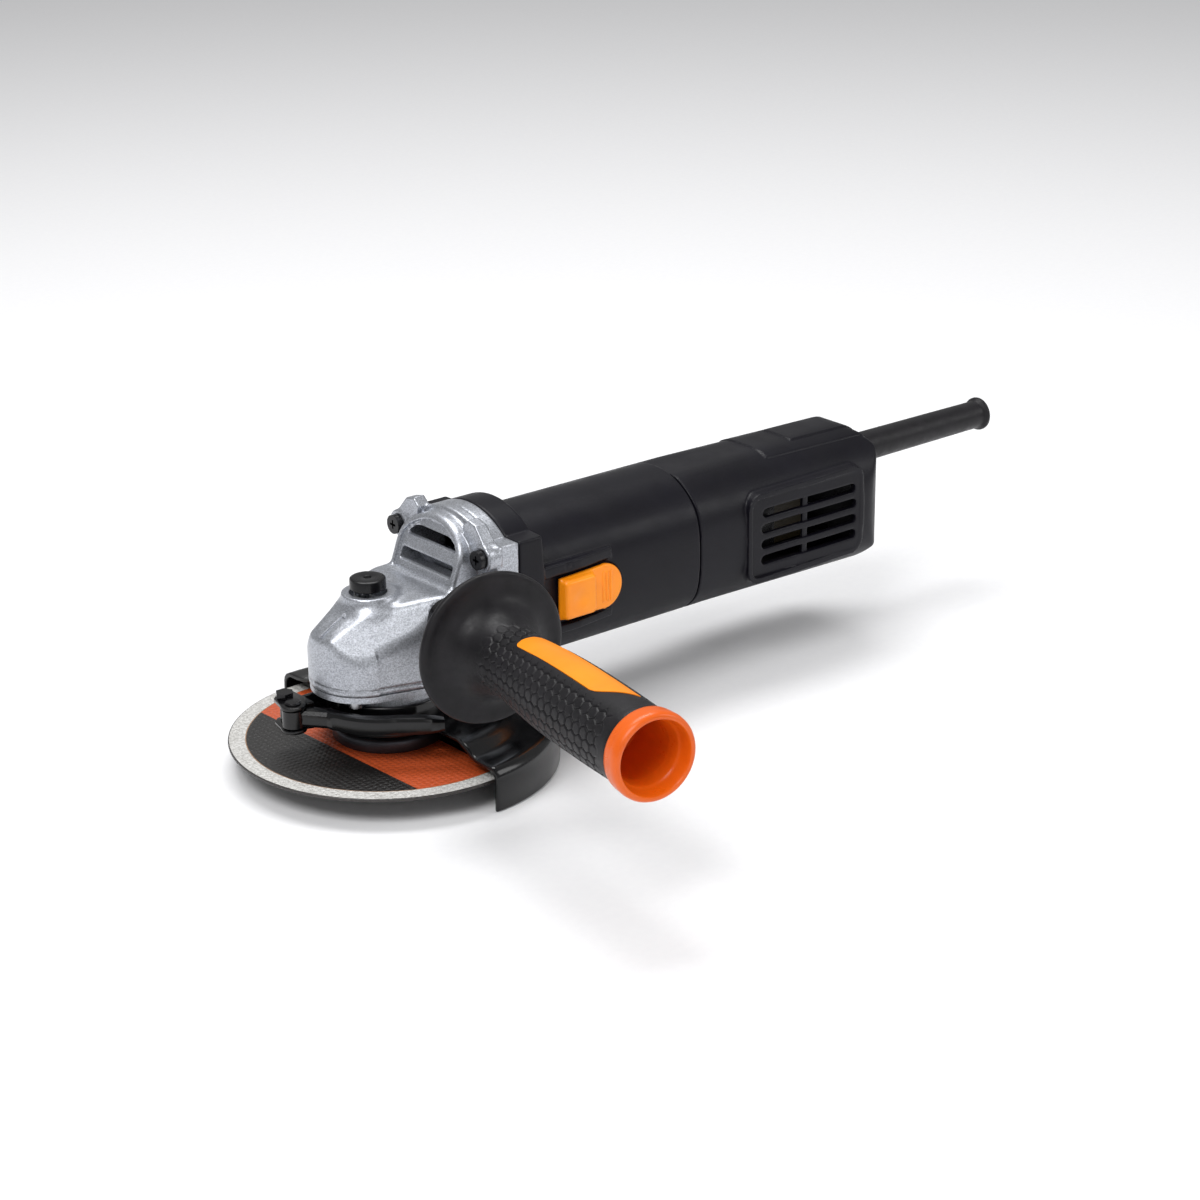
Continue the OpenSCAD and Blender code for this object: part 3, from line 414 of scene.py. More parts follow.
def block(x, y, z, low: Sequence[float], high: Sequence[float], r: float = 0.0) -> np.ndarray:
    """Distance to a box with edges rounded by r.

    Args:
        x, y, z: Coordinates.
        low: Lowest corner.
        high: Highest corner.
        r: Edge radius.

    Returns:
        Signed distance, negative inside.
    """
    q = [np.abs(c - (a + b) / 2) - ((b - a) / 2 - r) for c, a, b in zip((x, y, z), low, high)]
    outside = np.sqrt(sum(np.maximum(c, 0) ** 2 for c in q))
    return outside + np.minimum(np.maximum(np.maximum(q[0], q[1]), q[2]), 0) - r


def rod(a, b, t, r: float, lo: float, hi: float, edge: float = 0.0) -> np.ndarray:
    """Distance to a cylinder along t between lo and hi, with a and b across it.

    Args:
        a, b: Coordinates across, from its axis.
        t: Coordinate along.
        r: Radius.
        lo, hi: Ends.
        edge: Radius of the end edges.

    Returns:
        Signed distance.
    """
    across = np.sqrt(a * a + b * b) - r + edge
    along = np.abs(t - (lo + hi) / 2) - (hi - lo) / 2 + edge
    outside = np.sqrt(np.maximum(across, 0) ** 2 + np.maximum(along, 0) ** 2)
    return outside + np.minimum(np.maximum(across, along), 0) - edge


def prism(a, b, corners: Sequence[tuple[float, float]]) -> np.ndarray:
    """Distance to an endless prism over a convex outline.

    Args:
        a, b: Coordinates across the prism.
        corners: The outline, anticlockwise.

    Returns:
        Signed distance, exact at the faces.
    """
    out = None
    for (a0, b0), (a1, b1) in zip(corners, list(corners[1:]) + [corners[0]]):
        run = math.hypot(a1 - a0, b1 - b0)
        side = ((b1 - b0) * (a - a0) - (a1 - a0) * (b - b0)) / run
        out = side if out is None else np.maximum(out, side)
    return out


def net(shape: Field, low: Sequence[float], high: Sequence[float], step: float) -> tuple[np.ndarray, np.ndarray]:
    """Skin a distance field with quads whose corners are moved onto its surface.

    Args:
        shape: The field.
        low, high: Corners of the space to search.
        step: Size of a cell in mm.

    Returns:
        Corner positions in mm and quads as rows of four corner numbers.
    """
    low, high = np.array(low, float), np.array(high, float)
    count = np.ceil((high - low) / step).astype(int) + 1
    axes = [low[i] + step * np.arange(count[i]) for i in range(3)]
    grid = np.meshgrid(*axes, indexing="ij", sparse=True)
    value = np.broadcast_to(shape(*grid), count).astype(np.float32)
    inside = value < 0
    corners = [(i, j, k) for i in (0, 1) for j in (0, 1) for k in (0, 1)]
    views = [inside[i : count[0] - 1 + i, j : count[1] - 1 + j, k : count[2] - 1 + k] for i, j, k in corners]
    some, every = np.zeros_like(views[0]), np.ones_like(views[0])
    for v in views:
        some |= v
        every &= v
    cells = np.argwhere(some & ~every)
    at = [value[cells[:, 0] + i, cells[:, 1] + j, cells[:, 2] + k] for i, j, k in corners]
    total, hits = np.zeros((len(cells), 3)), np.zeros(len(cells))
    for a in range(8):
        for b in range(a + 1, 8):
            ca, cb = np.array(corners[a]), np.array(corners[b])
            if np.abs(ca - cb).sum() != 1:
                continue
            cross = (at[a] < 0) != (at[b] < 0)
            t = np.where(cross, at[a] / np.where(cross, at[a] - at[b], 1), 0)
            total += np.where(cross[:, None], ca + t[:, None] * (cb - ca), 0)
            hits += cross
    points = low + step * (cells + total / hits[:, None])
    number = np.full([c - 1 for c in count], -1, np.int64)
    number[tuple(cells.T)] = np.arange(len(cells))
    quads = []
    for axis in range(3):
        u, v = [(axis + 1) % 3, (axis + 2) % 3]
        first = np.take(inside, range(count[axis] - 1), axis)
        second = np.take(inside, range(1, count[axis]), axis)
        edge = np.argwhere(first != second)
        edge = edge[(edge[:, u] > 0) & (edge[:, v] > 0) & (edge[:, u] < count[u] - 1) & (edge[:, v] < count[v] - 1)]
        du, dv = np.zeros(3, int), np.zeros(3, int)
        du[u], dv[v] = 1, 1
        ring = [number[tuple((edge - o).T)] for o in (0 * du, du, du + dv, dv)]
        flip = first[tuple(edge.T)]
        rows = np.stack(ring, 1)
        quads.append(np.where(flip[:, None], rows, rows[:, ::-1]))
    for _ in range(3):
        points = settle(shape, points, step)
    return points, np.concatenate(quads)


def settle(shape: Field, points: np.ndarray, step: float) -> np.ndarray:
    """Move points one step towards the field's surface.

    Args:
        shape: The field.
        points: Positions in mm.
        step: Cell size, which limits the move.

    Returns:
        The moved positions.
    """
    d = 0.02
    value = shape(*points.T)
    slope = np.stack([(shape(*(points + d * axis).T) - shape(*(points - d * axis).T)) / (2 * d)
                      for axis in np.eye(3)], 1)
    size = np.maximum((slope**2).sum(1), 0.2)
    move = -slope * (value / size)[:, None]
    long = np.linalg.norm(move, axis=1)
    return points + move * np.minimum(1, 0.4 * step / np.maximum(long, 1e-9))[:, None]


def mesh_object(name: str, points: np.ndarray, faces: Iterable, finish, smooth: float | None = 40.0) -> bpy.types.Object:
    """Make an object from positions in mm, its place in its mesh.

    Args:
        name: The piece's name.
        points: Positions in mm.
        faces: Rows of corner numbers.
        finish: The finish to dress it in.
        smooth: Angle in degrees above which an edge stays sharp, or None for flat.

    Returns:
        The object.
    """
    mesh = bpy.data.meshes.new(name)
    mesh.from_pydata([tuple(p) for p in np.asarray(points, float) * MM], [], [tuple(int(i) for i in f) for f in faces])
    mesh.validate()
    mesh.update()
    obj = bpy.data.objects.new(name, mesh)
    bpy.context.scene.collection.objects.link(obj)
    if smooth is not None:
        mesh.shade_smooth()
        if smooth < 180:
            mesh.set_sharp_from_angle(angle=math.radians(smooth))
    mesh.materials.append(finish.build())
    return obj


def field_object(name: str, shape: Field, low: Sequence[float], high: Sequence[float], step: float,
                 finish, smooth: float = 48.0) -> bpy.types.Object:
    """Skin a field and make it an object.

    Args:
        name: The piece's name.
        shape: The field, in mm.
        low, high: Corners of the space it lies in.
        step: Cell size in mm.
        finish: The finish to dress it in.
        smooth: Angle above which an edge stays sharp.

    Returns:
        The object.
    """
    cell = step * 1.0
    points, quads = net(shape, low, high, cell)
    obj = mesh_object(name, points, quads, finish, smooth)
    LOG.info("%s: %d quads", name, len(quads))
    return obj


def turned(name: str, profile: Sequence[tuple[float, float]], finish, steps: int = 96,
           start: float = 0.0, sweep: float = 360.0, place: Matrix | None = None,
           bevel: float = 0.0) -> bpy.types.Object:
    """Turn a closed outline of (radius, height) around Z.

    Args:
        name: The piece's name.
        profile: Closed outline, anticlockwise with radius to the right.
        finish: The finish to dress it in.
        steps: Segments around.
        start: First angle in degrees.
        sweep: Angle turned, 360 for a full ring.
        place: Where the turned shape stands, in mm.
        bevel: Width of the edge bevel in mm.

    Returns:
        The object.
    """
    full = abs(sweep) >= 360
    rings = steps if full else steps + 1
    angles = np.radians(start + sweep * np.arange(rings) / steps)
    r, z = np.array(profile, float).T
    n = len(r)
    pts = np.stack([np.outer(np.cos(angles), r), np.outer(np.sin(angles), r),
                    np.broadcast_to(z, (rings, n))], 2).reshape(-1, 3)
    faces: list[tuple[int, ...]] = []
    for i in range(rings if full else rings - 1):
        j = (i + 1) % rings
        for k in range(n):
            m = (k + 1) % n
            faces.append((i * n + k, j * n + k, j * n + m, i * n + m))
    if not full:
        faces.append(tuple(range(n)))
        faces.append(tuple(range((rings - 1) * n + n - 1, (rings - 1) * n - 1, -1)))
    return solid(name, pts, faces, finish, place, bevel)


def solid(name: str, points: np.ndarray, faces: Iterable, finish, place: Matrix | None = None,
          bevel: float = 0.0, weld: float = 1e-4, smooth: float = 35.0) -> bpy.types.Object:
    """Make a closed solid: doubles merged, normals outwards, edges bevelled.

    Args:
        name: The piece's name.
        points: Positions in mm.
        faces: Rows of corner numbers.
        finish: The finish to dress it in.
        place: Where it stands, in mm.
        bevel: Width of the edge bevel in mm.
        weld: Merge distance in mm.
        smooth: Angle above which an edge stays sharp.

    Returns:
        The object.
    """
    points = np.asarray(points, float)
    if place is not None:
        m = np.array(place)
        points = points @ m[:3, :3].T + m[:3, 3]
    obj = mesh_object(name, points, faces, finish, None)
    shell = bmesh.new()
    shell.from_mesh(obj.data)
    bmesh.ops.remove_doubles(shell, verts=shell.verts, dist=weld * MM)
    bmesh.ops.dissolve_degenerate(shell, edges=shell.edges, dist=1e-7)
    bmesh.ops.recalc_face_normals(shell, faces=shell.faces)
    if bevel:
        sharp = [e for e in shell.edges if e.is_manifold and e.calc_face_angle(0) > math.radians(32)]
        bmesh.ops.bevel(shell, geom=sharp, offset=bevel * MM, segments=2, profile=0.5, affect="EDGES",
                        clamp_overlap=True)
    shell.to_mesh(obj.data)
    shell.free()
    obj.data.shade_smooth()
    obj.data.set_sharp_from_angle(angle=math.radians(smooth))
    return obj


def plate(name: str, outline: Sequence[tuple[float, float]], z0: float, z1: float, finish,
          bevel: float = 0.3, place: Matrix | None = None) -> bpy.types.Object:
    """Raise an outline in XY from z0 to z1, with bevelled edges.

    Args:
        name: The piece's name.
        outline: Closed outline in mm.
        z0, z1: Heights.
        finish: The finish to dress it in.
        bevel: Edge bevel in mm.
        place: Where it stands, in mm.

    Returns:
        The object.
    """
    n = len(outline)
    pts = [(x, y, z0) for x, y in outline] + [(x, y, z1) for x, y in outline]
    faces: list[tuple[int, ...]] = [tuple(range(n - 1, -1, -1)), tuple(range(n, 2 * n))]
    faces += [(i, (i + 1) % n, n + (i + 1) % n, n + i) for i in range(n)]
    return solid(name, np.array(pts), faces, finish, place, bevel)


def joined(name: str, pieces: Sequence[bpy.types.Object]) -> bpy.types.Object:
    """Join several objects that sit at the origin into one.

    Args:
        name: The new piece's name.
        pieces: What to join.

    Returns:
        The one object.
    """
    shell = bmesh.new()
    for piece in pieces:
        shell.from_mesh(piece.data)
    mesh = bpy.data.meshes.new(name)
    shell.to_mesh(mesh)
    shell.free()
    mesh.materials.append(pieces[0].data.materials[0])
    for piece in pieces:
        bpy.data.objects.remove(piece)
    obj = bpy.data.objects.new(name, mesh)
    bpy.context.scene.collection.objects.link(obj)
    return obj


def fitted(obj: bpy.types.Object, body: str, finish, *nodes: str) -> bpy.types.Object:
    """Hand a finished piece to the frame.

    Args:
        obj: The piece.
        body: The CAD body it rides on.
        finish: Not used.
        nodes: The CAD nodes it stands for.

    Returns:
        The piece.
    """
    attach(obj, body)
    if nodes:
        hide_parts(*nodes)
    LOG.info("piece %s rides on %s for %s", obj.name, body, ", ".join(nodes) or "nothing")
    return obj


# ---- repeated and wound pieces, as node trees ----


class Repeat:
    """A node tree that sets copies of one piece at given points, all turned the same way."""

    def __init__(self, name: str) -> None:
        """Build the tree with its named inputs."""
        self.tree = bpy.data.node_groups.new(name, "GeometryNodeTree")
        face = self.tree.interface
        self.sockets = {}
        face.new_socket("Geometry", in_out="INPUT", socket_type="NodeSocketGeometry")
        for label, kind in (("Piece", "NodeSocketObject"), ("Turn", "NodeSocketVector"),
                            ("Size", "NodeSocketFloat"), ("Finish", "NodeSocketMaterial")):
            self.sockets[label] = face.new_socket(label, in_out="INPUT", socket_type=kind).identifier
        face.new_socket("Geometry", in_out="OUTPUT", socket_type="NodeSocketGeometry")
        gin = add(self.tree, "NodeGroupInput")
        source = add(self.tree, "GeometryNodeObjectInfo", {"Object": gin.outputs["Piece"], "As Instance": True})
        euler = add(self.tree, "FunctionNodeEulerToRotation", {"Euler": gin.outputs["Turn"]})
        copies = add(self.tree, "GeometryNodeInstanceOnPoints", {
            "Points": gin.outputs["Geometry"], "Instance": source.outputs["Geometry"],
            "Rotation": euler.outputs["Rotation"], "Scale": gin.outputs["Size"]})
        real = add(self.tree, "GeometryNodeRealizeInstances", {"Geometry": copies.outputs["Instances"]})
        dress = add(self.tree, "GeometryNodeSetMaterial", {"Geometry": real.outputs["Geometry"],
                                                           "Material": gin.outputs["Finish"]})
        add(self.tree, "NodeGroupOutput", {"Geometry": dress.outputs["Geometry"]})

    def lay(self, name: str, points: Sequence[Sequence[float]], piece: bpy.types.Object, finish,
            turn: tuple[float, float, float] = (0, 0, 0), size: float = 1.0) -> bpy.types.Object:
        """Set copies and turn them into one plain mesh.

        Args:
            name: The new piece's name.
            points: Places in mm.
            piece: What is repeated, around the origin.
            finish: The finish of the copies.
            turn: Rotation in degrees.
            size: Scale of each copy.

        Returns:
            The object.
        """
        mesh = bpy.data.meshes.new(name + "_points")
        mesh.from_pydata([tuple(c * MM for c in p) for p in points], [], [])
        holder = bpy.data.objects.new(name + "_holder", mesh)
        bpy.context.scene.collection.objects.link(holder)
        mod = holder.modifiers.new("repeat", "NODES")
        mod.node_group = self.tree
        mod[self.sockets["Piece"]] = piece
        mod[self.sockets["Turn"]] = tuple(math.radians(a) for a in turn)
        mod[self.sockets["Size"]] = size
        mod[self.sockets["Finish"]] = finish.build()
        return bake(name, holder)


class Winding:
    """A node tree that winds round wire into a coil standing on Z."""

    def __init__(self, name: str) -> None:
        """Build the tree with its named inputs."""
        self.tree = bpy.data.node_groups.new(name, "GeometryNodeTree")
        face = self.tree.interface
        self.sockets = {}
        face.new_socket("Geometry", in_out="INPUT", socket_type="NodeSocketGeometry")
        for label in ("Turns", "Radius", "Height", "Wire", "Foot"):
            self.sockets[label] = face.new_socket(label, in_out="INPUT", socket_type="NodeSocketFloat").identifier
        self.sockets["Place"] = face.new_socket("Place", in_out="INPUT", socket_type="NodeSocketVector").identifier
        self.sockets["Finish"] = face.new_socket("Finish", in_out="INPUT", socket_type="NodeSocketMaterial").identifier
        face.new_socket("Geometry", in_out="OUTPUT", socket_type="NodeSocketGeometry")
        gin = add(self.tree, "NodeGroupInput")
        spiral = add(self.tree, "GeometryNodeCurveSpiral", {
            "Resolution": 24, "Rotations": gin.outputs["Turns"], "Start Radius": gin.outputs["Radius"],
            "End Radius": gin.outputs["Radius"], "Height": gin.outputs["Height"]})
        ring = add(self.tree, "GeometryNodeCurvePrimitiveCircle", {"Resolution": 12, "Radius": gin.outputs["Wire"]})
        tube = add(self.tree, "GeometryNodeCurveToMesh", {"Curve": spiral.outputs["Curve"],
                   "Profile Curve": ring.outputs["Curve"], "Fill Caps": True})
        moved = add(self.tree, "GeometryNodeTransform", {"Geometry": tube.outputs["Mesh"],
                                                         "Translation": gin.outputs["Place"]})
        smooth = add(self.tree, "GeometryNodeSetShadeSmooth", {0: moved.outputs["Geometry"]})
        real = add(self.tree, "GeometryNodeRealizeInstances", {"Geometry": smooth.outputs[0]})
        dress = add(self.tree, "GeometryNodeSetMaterial", {"Geometry": real.outputs["Geometry"],
                                                           "Material": gin.outputs["Finish"]})
        add(self.tree, "NodeGroupOutput", {"Geometry": dress.outputs["Geometry"]})

    def wind(self, name: str, turns: float, radius: float, height: float, wire: float,
             place: Sequence[float], finish) -> bpy.types.Object:
        """Wind one coil as a plain mesh.

        Args:
            name: The piece's name.
            turns: Number of turns.
            radius: Radius to the wire's middle, in mm.
            height: Height between the wire's ends, in mm.
            wire: Radius of the wire in mm.
            place: Foot of the coil in mm.
            finish: The finish of the wire.

        Returns:
            The object.
        """
        holder = bpy.data.objects.new(name + "_holder", bpy.data.meshes.new(name + "_holder"))
        bpy.context.scene.collection.objects.link(holder)
        mod = holder.modifiers.new("winding", "NODES")
        mod.node_group = self.tree
        for label, value in (("Turns", turns), ("Radius", radius * MM), ("Height", height * MM), ("Wire", wire * MM)):
            mod[self.sockets[label]] = float(value)
        mod[self.sockets["Place"]] = tuple(c * MM for c in place)
        mod[self.sockets["Finish"]] = finish.build()
        return bake(name, holder)


def bake(name: str, holder: bpy.types.Object) -> bpy.types.Object:
    """Turn a holder's evaluated tree into a plain mesh object and remove the holder.

    Args:
        name: The new piece's name.
        holder: The object with the tree on it.

    Returns:
        The new object.
    """
    graph = bpy.context.evaluated_depsgraph_get()
    mesh = bpy.data.meshes.new_from_object(holder.evaluated_get(graph))
    mesh.name = name
    bpy.data.objects.remove(holder)
    obj = bpy.data.objects.new(name, mesh)
    bpy.context.scene.collection.objects.link(obj)
    return obj


# ---- gear case ----


@dataclass
class GearCase:
    """The die-cast gear case with its louvre hood, screw ears and boss."""

    nose_x: float = -32.0
    nose_r: float = 21.0
    side: float = 25.5
    base: float = 31.5  # underside of the casting
    end_x: float = 41.6
    collar: float = 31.0
    boss_x: float = -7.4
    boss_top: float = 70.0
    step: float = 0.56
    knots: list = field(default_factory=lambda: [
        (-35.0, 8.0, -22.0, 0.0), (-30.5, 6.0, -1.0, 1.5), (-17.2, 18.6, -5.6, 1.8), (-18.0, 8.0, 5.0, 2.5),
        (11.0, 21.8, 10.2, 2.2), (14.0, 13.0, 10.5, 2.5), (31.0, 25.6, 8.5, 0.0), (31.0, 29.6, -22.0, 0.0),
        (-26.0, 26.1, -22.0, 0.0)])

    def planes(self) -> list[tuple[np.ndarray, float]]:
        """The flat faces of the nose, from the hull of its knots.

        Returns:
            Pairs of outward normal and distance, in mm.
        """
        shell = bmesh.new()
        for x, y, up, r in self.knots:
            for s in (-1, 1):
                for dx, dy, dz in ((0, 0, 0), (r, 0, 0), (-r, 0, 0), (0, r, 0), (0, -r, 0), (0, 0, r), (0, 0, -r)):
                    shell.verts.new((x + dx, s * y + dy, AXIS + up + dz))
        bmesh.ops.convex_hull(shell, input=shell.verts)
        bmesh.ops.dissolve_limit(shell, angle_limit=math.radians(13), verts=shell.verts, edges=shell.edges)
        shell.normal_update()
        found: list[tuple[np.ndarray, float]] = []
        spots = np.array([v.co for v in shell.verts])
        for f in sorted(shell.faces, key=lambda f: -f.calc_area()):
            n = np.array(f.normal)
            if f.calc_area() < 4 or n[2] < -0.5 or any(n @ m > 0.985 for m, _ in found):
                continue
            found.append((n, float((spots @ n).max()) if f.calc_area() < 60 else float(
                np.mean([np.array(v.co) @ n for v in f.verts]))))
        shell.free()
        return found

    def plan(self, x: np.ndarray, y: np.ndarray, inset: float = 0.0) -> np.ndarray:
        """Distance to the plan outline: round nose, tapering to straight sides."""
        flank = np.maximum(np.abs(y) - self.side, (np.abs(y) * 14 - 4.5 * x) / 14.7 - 23.37)
        front = np.sqrt((x - self.nose_x - self.nose_r) ** 2 + y * y) - self.nose_r
        return np.where(x < -17.4, np.maximum(front, -50), smooth_max(flank, -20 - x, 1.0)) + inset

    def arch(self, y: np.ndarray, up: np.ndarray) -> np.ndarray:
        """Distance to the hood's outline: upright sides under a shallow round top."""
        top = np.where(up > 9.8, np.sqrt(y * y + (up - 9.8) ** 2), np.abs(y)) - 26
        return smooth_max(np.abs(y) - 20.4, top, 3.0)

    def shape(self, planes: list[tuple[np.ndarray, float]]) -> Field:
        """The casting's field.

        Args:
            planes: The nose's faces.

        Returns:
            The field in mm.
        """

        def dist(x, y, z):
            up = z - AXIS
            ay = np.abs(y)
            flank = (ay * 14 - 4.5 * x) / 14.7 - 23.37
            front = np.sqrt(np.minimum(x - self.nose_x - self.nose_r, 0) ** 2 + y * y) - self.nose_r
            body = np.where(x < -17.4, front, np.maximum(flank, ay - self.side))
            body = smooth_max(body, x - 32.5, 0.5)
            for n, d in planes:
                body = smooth_max(body, n[0] * x + n[1] * y + n[2] * z - d, 2.0)
            body = smooth_max(body, self.base - z, 1.0)
            # foot rim and thin parting line above it
            line = np.abs(z - self.base - 2.6) - 0.28
            body = np.maximum(body, -np.maximum(line, -(body + 0.3)))
            boss = rod(x - self.boss_x, y, z, 10.3, self.base + 6, self.boss_top, 0.9)
            d = smooth_min(body, boss, 5.0)
            # louvre hood with a slanting face
            arch = self.arch(y, up)
            slant = (16.4 - x) * math.cos(math.radians(20)) + (up - 11) * math.sin(math.radians(20))
            hood = smooth_max(smooth_max(arch, slant, 2.2), np.maximum(x - 33, -up), 0.6)
            d = smooth_min(d, hood, 3.0)
            # arched panel sunk inside its rim
            panel = np.maximum(np.maximum(arch + 2.5, -slant - 1.3), 12.6 - up)
            d = smooth_max(d, -panel, 0.7)
            # flange with square shoulders
            over = np.sqrt(y * y + (up - 3.5) ** 2) - (self.collar + 3)
            flange = np.minimum(np.maximum(over, ay - self.collar), np.maximum(ay - self.collar, up - 29.0))
            flange = smooth_max(flange, -28.8 - up, 1.5)
            flange = smooth_max(flange, np.maximum(31.0 - x, x - self.end_x), 0.9)
            d = smooth_min(d, flange, 1.6)
            # ears and webs that carry the screws
            for s in (-1, 1):
                zc = 24.7 if s > 0 else -23.7
                ear = rod(ay - 26.8, up - zc, x, 5.4, 26.6, 33, 0.6)
                d = smooth_min(d, ear, 1.2)
            # wing that rises from each upper screw past the flange's arch
            wing = prism(ay, up, [(22, 21), (30.6, 22.5), (30.6, 27), (22.3, 36.4), (17.4, 37.6), (14, 34.6), (17.4, 24.6)])
            wing = smooth_max(wing, np.maximum(27.2 + (up - 30) * 0.05 - x, x - 33), 0.7)
            d = smooth_min(d, wing, 0.9)
            groove = np.maximum(np.abs(x - 35.6) - 0.25, np.maximum(ay - 24, 12 - up))
            d = np.maximum(d, -np.maximum(groove, -(flange + 0.3)))
            return np.maximum(d, -self.spaces(x, y, z))

        return dist

    def spaces(self, x, y, z) -> np.ndarray:
        """Distance to everything cut out of the casting: chambers, seats, ducts and holes."""
        up = z - AXIS
        ay = np.abs(y)
        cut = rod(x, y, z, 21.6, self.base - 4, 48.5)
        more = [
            rod(y, up, x, 10.0, 8, 31.0), rod(y, up, x, 15.05, 29.8, 60),
            rod(x, y, z, 6.05, AXIS - 4, AXIS + 5.5), rod(x, y, z, 8, AXIS - 12, AXIS - 1.4),
            rod(x + 9.5, y, z, 2.1, AXIS - 12, 90), rod(x - self.boss_x, y, z, 7.3, 61.3, 90),
            self.duct(x, y, up),
        ]
        for s in (1, -1):
            zc = 24.7 if s > 0 else -23.7
            more.append(rod(ay - 26.8, up - zc, x, 2.25, 20, 60))
            more.append(rod(ay - 26.8, up - zc, x, 4.0, 15, 26.9))
        for px, py in ((-23.6, 12.6), (18.5, 20.4)):
            more.append(rod(x - px, ay - py, z, 1.95, self.base - 3, self.base + 12.5))
        lean = math.radians(9)
        out = (x - 13) * -math.sin(lean) + ay * math.cos(lean)
        across = (x - 13) * math.cos(lean) + ay * math.sin(lean)
        more.append(rod(across, up - 6, out, 4.0, 13, 60))
        for m in more:
            cut = np.minimum(cut, m)
        return cut

    def duct(self, x, y, up) -> np.ndarray:
        """Distance to the air duct and its two louvre slots, which slope down towards the front."""
        arch = self.arch(y, up)
        front = (19.6 - x) + (up - 11) * math.tan(math.radians(20))
        # deep behind the slots, then over the bearing's seat
        fore = x < 29.4
        deep = np.maximum(np.maximum(np.abs(y) - 15.8, front), np.maximum(np.where(fore, 12.6, 15.4) - up, up - 27.6))
        deep = np.maximum(deep, arch + 1.4)
        cut = np.maximum(deep, np.maximum(x - 60, np.where(fore, 12.4, 17.6) - np.sqrt(y * y + up * up)))
        for low, high in ((24.0, 29.2), (14.9, 19.9)):
            drop = (x - 19) * 0.16
            slot = smooth_max(np.maximum(low + drop - up, up - high), np.maximum(arch + 3.9, np.abs(y) - 16.2), 1.2)
            cut = np.minimum(cut, np.maximum(slot, np.maximum(8 - x, x - 27.5)))
        return cut

    def build(self, repeat: "Repeat") -> None:
        """Make the casting, its turning arrow and its screws.

        Args:
            repeat: The tree that sets the screws.
        """
        case = field_object("gear_case_casting", self.shape(self.planes()), (-34, -33.5, 30.5), (43, 33.5, 92.5),
                            self.step, SILVER)
        fitted(case, "machine", SILVER, "gear_case")
        arrow = self.arrow(case)
        fitted(arrow, "machine", SILVER)
        head = pan_head("screw_pattern", 3.75, 2.6, 1.05)
        spots = [(24.0, s * 26.8, AXIS + z) for s in (-1, 1) for z in (24.7, -23.7)]
        screws = repeat.lay("case_screw_heads", spots, head, SCREW, (0, 90, 0))
        fitted(screws, "machine", SCREW)
        bpy.data.objects.remove(head)

    def arrow(self, case: bpy.types.Object) -> bpy.types.Object:
        """The raised arrow on the front slope that shows which way the disc turns.

        Args:
            case: The casting it stands on.

        Returns:
            The arrow.
        """
        outline = [(-0.9, -8.4), (0.7, -8.4), (0.7, 3.2), (3.0, 3.2), (-0.3, 8.8), (-0.9, 7.4)]
        tree = BVHTree.FromPolygons([v.co for v in case.data.vertices], [p.vertices for p in case.data.polygons])
        place, normal, _, _ = tree.ray_cast(Vector((-0.0238, -0.0008, 0.1)), Vector((0, 0, -1)))
        turn = normal.to_track_quat("Z", "Y").to_matrix().to_4x4()
        LOG.info("arrow stands at %s", tuple(place))
        return plate("turning_arrow", outline, -0.8, 0.42, SILVER, 0.2, Matrix.Translation(place / MM) @ turn)


def pan_head(name: str, r: float, h: float, drive: float) -> bpy.types.Object:
    """A pan-head screw's head with a crossed slot, standing on Z with its seat at 'h'.

    Args:
        name: Its name.
        r: Radius.
        h: Height.
        drive: Half length of the slot's arms.

    Returns:
        The object, around the origin.
    """

    def shape(x, y, z):
        dome = np.sqrt(x * x + y * y + (z - h * 1.9) ** 2) - h * 1.9
        d = smooth_max(rod(x, y, z, r, 0, h, 0.3), dome, 0.4)
        arm = np.minimum(block(x, y, z, (-drive * 1.5, -0.45, -1), (drive * 1.5, 0.45, 1.5)),
                         block(x, y, z, (-0.45, -drive * 1.5, -1), (0.45, drive * 1.5, 1.5)))
        return np.maximum(d, -arm)

    points, quads = net(shape, (-r - 0.6, -r - 0.6, -0.6), (r + 0.6, r + 0.6, h + 0.6), 0.22)
    return mesh_object(name, points, quads, SCREW, 50)


# ---- motor body ----


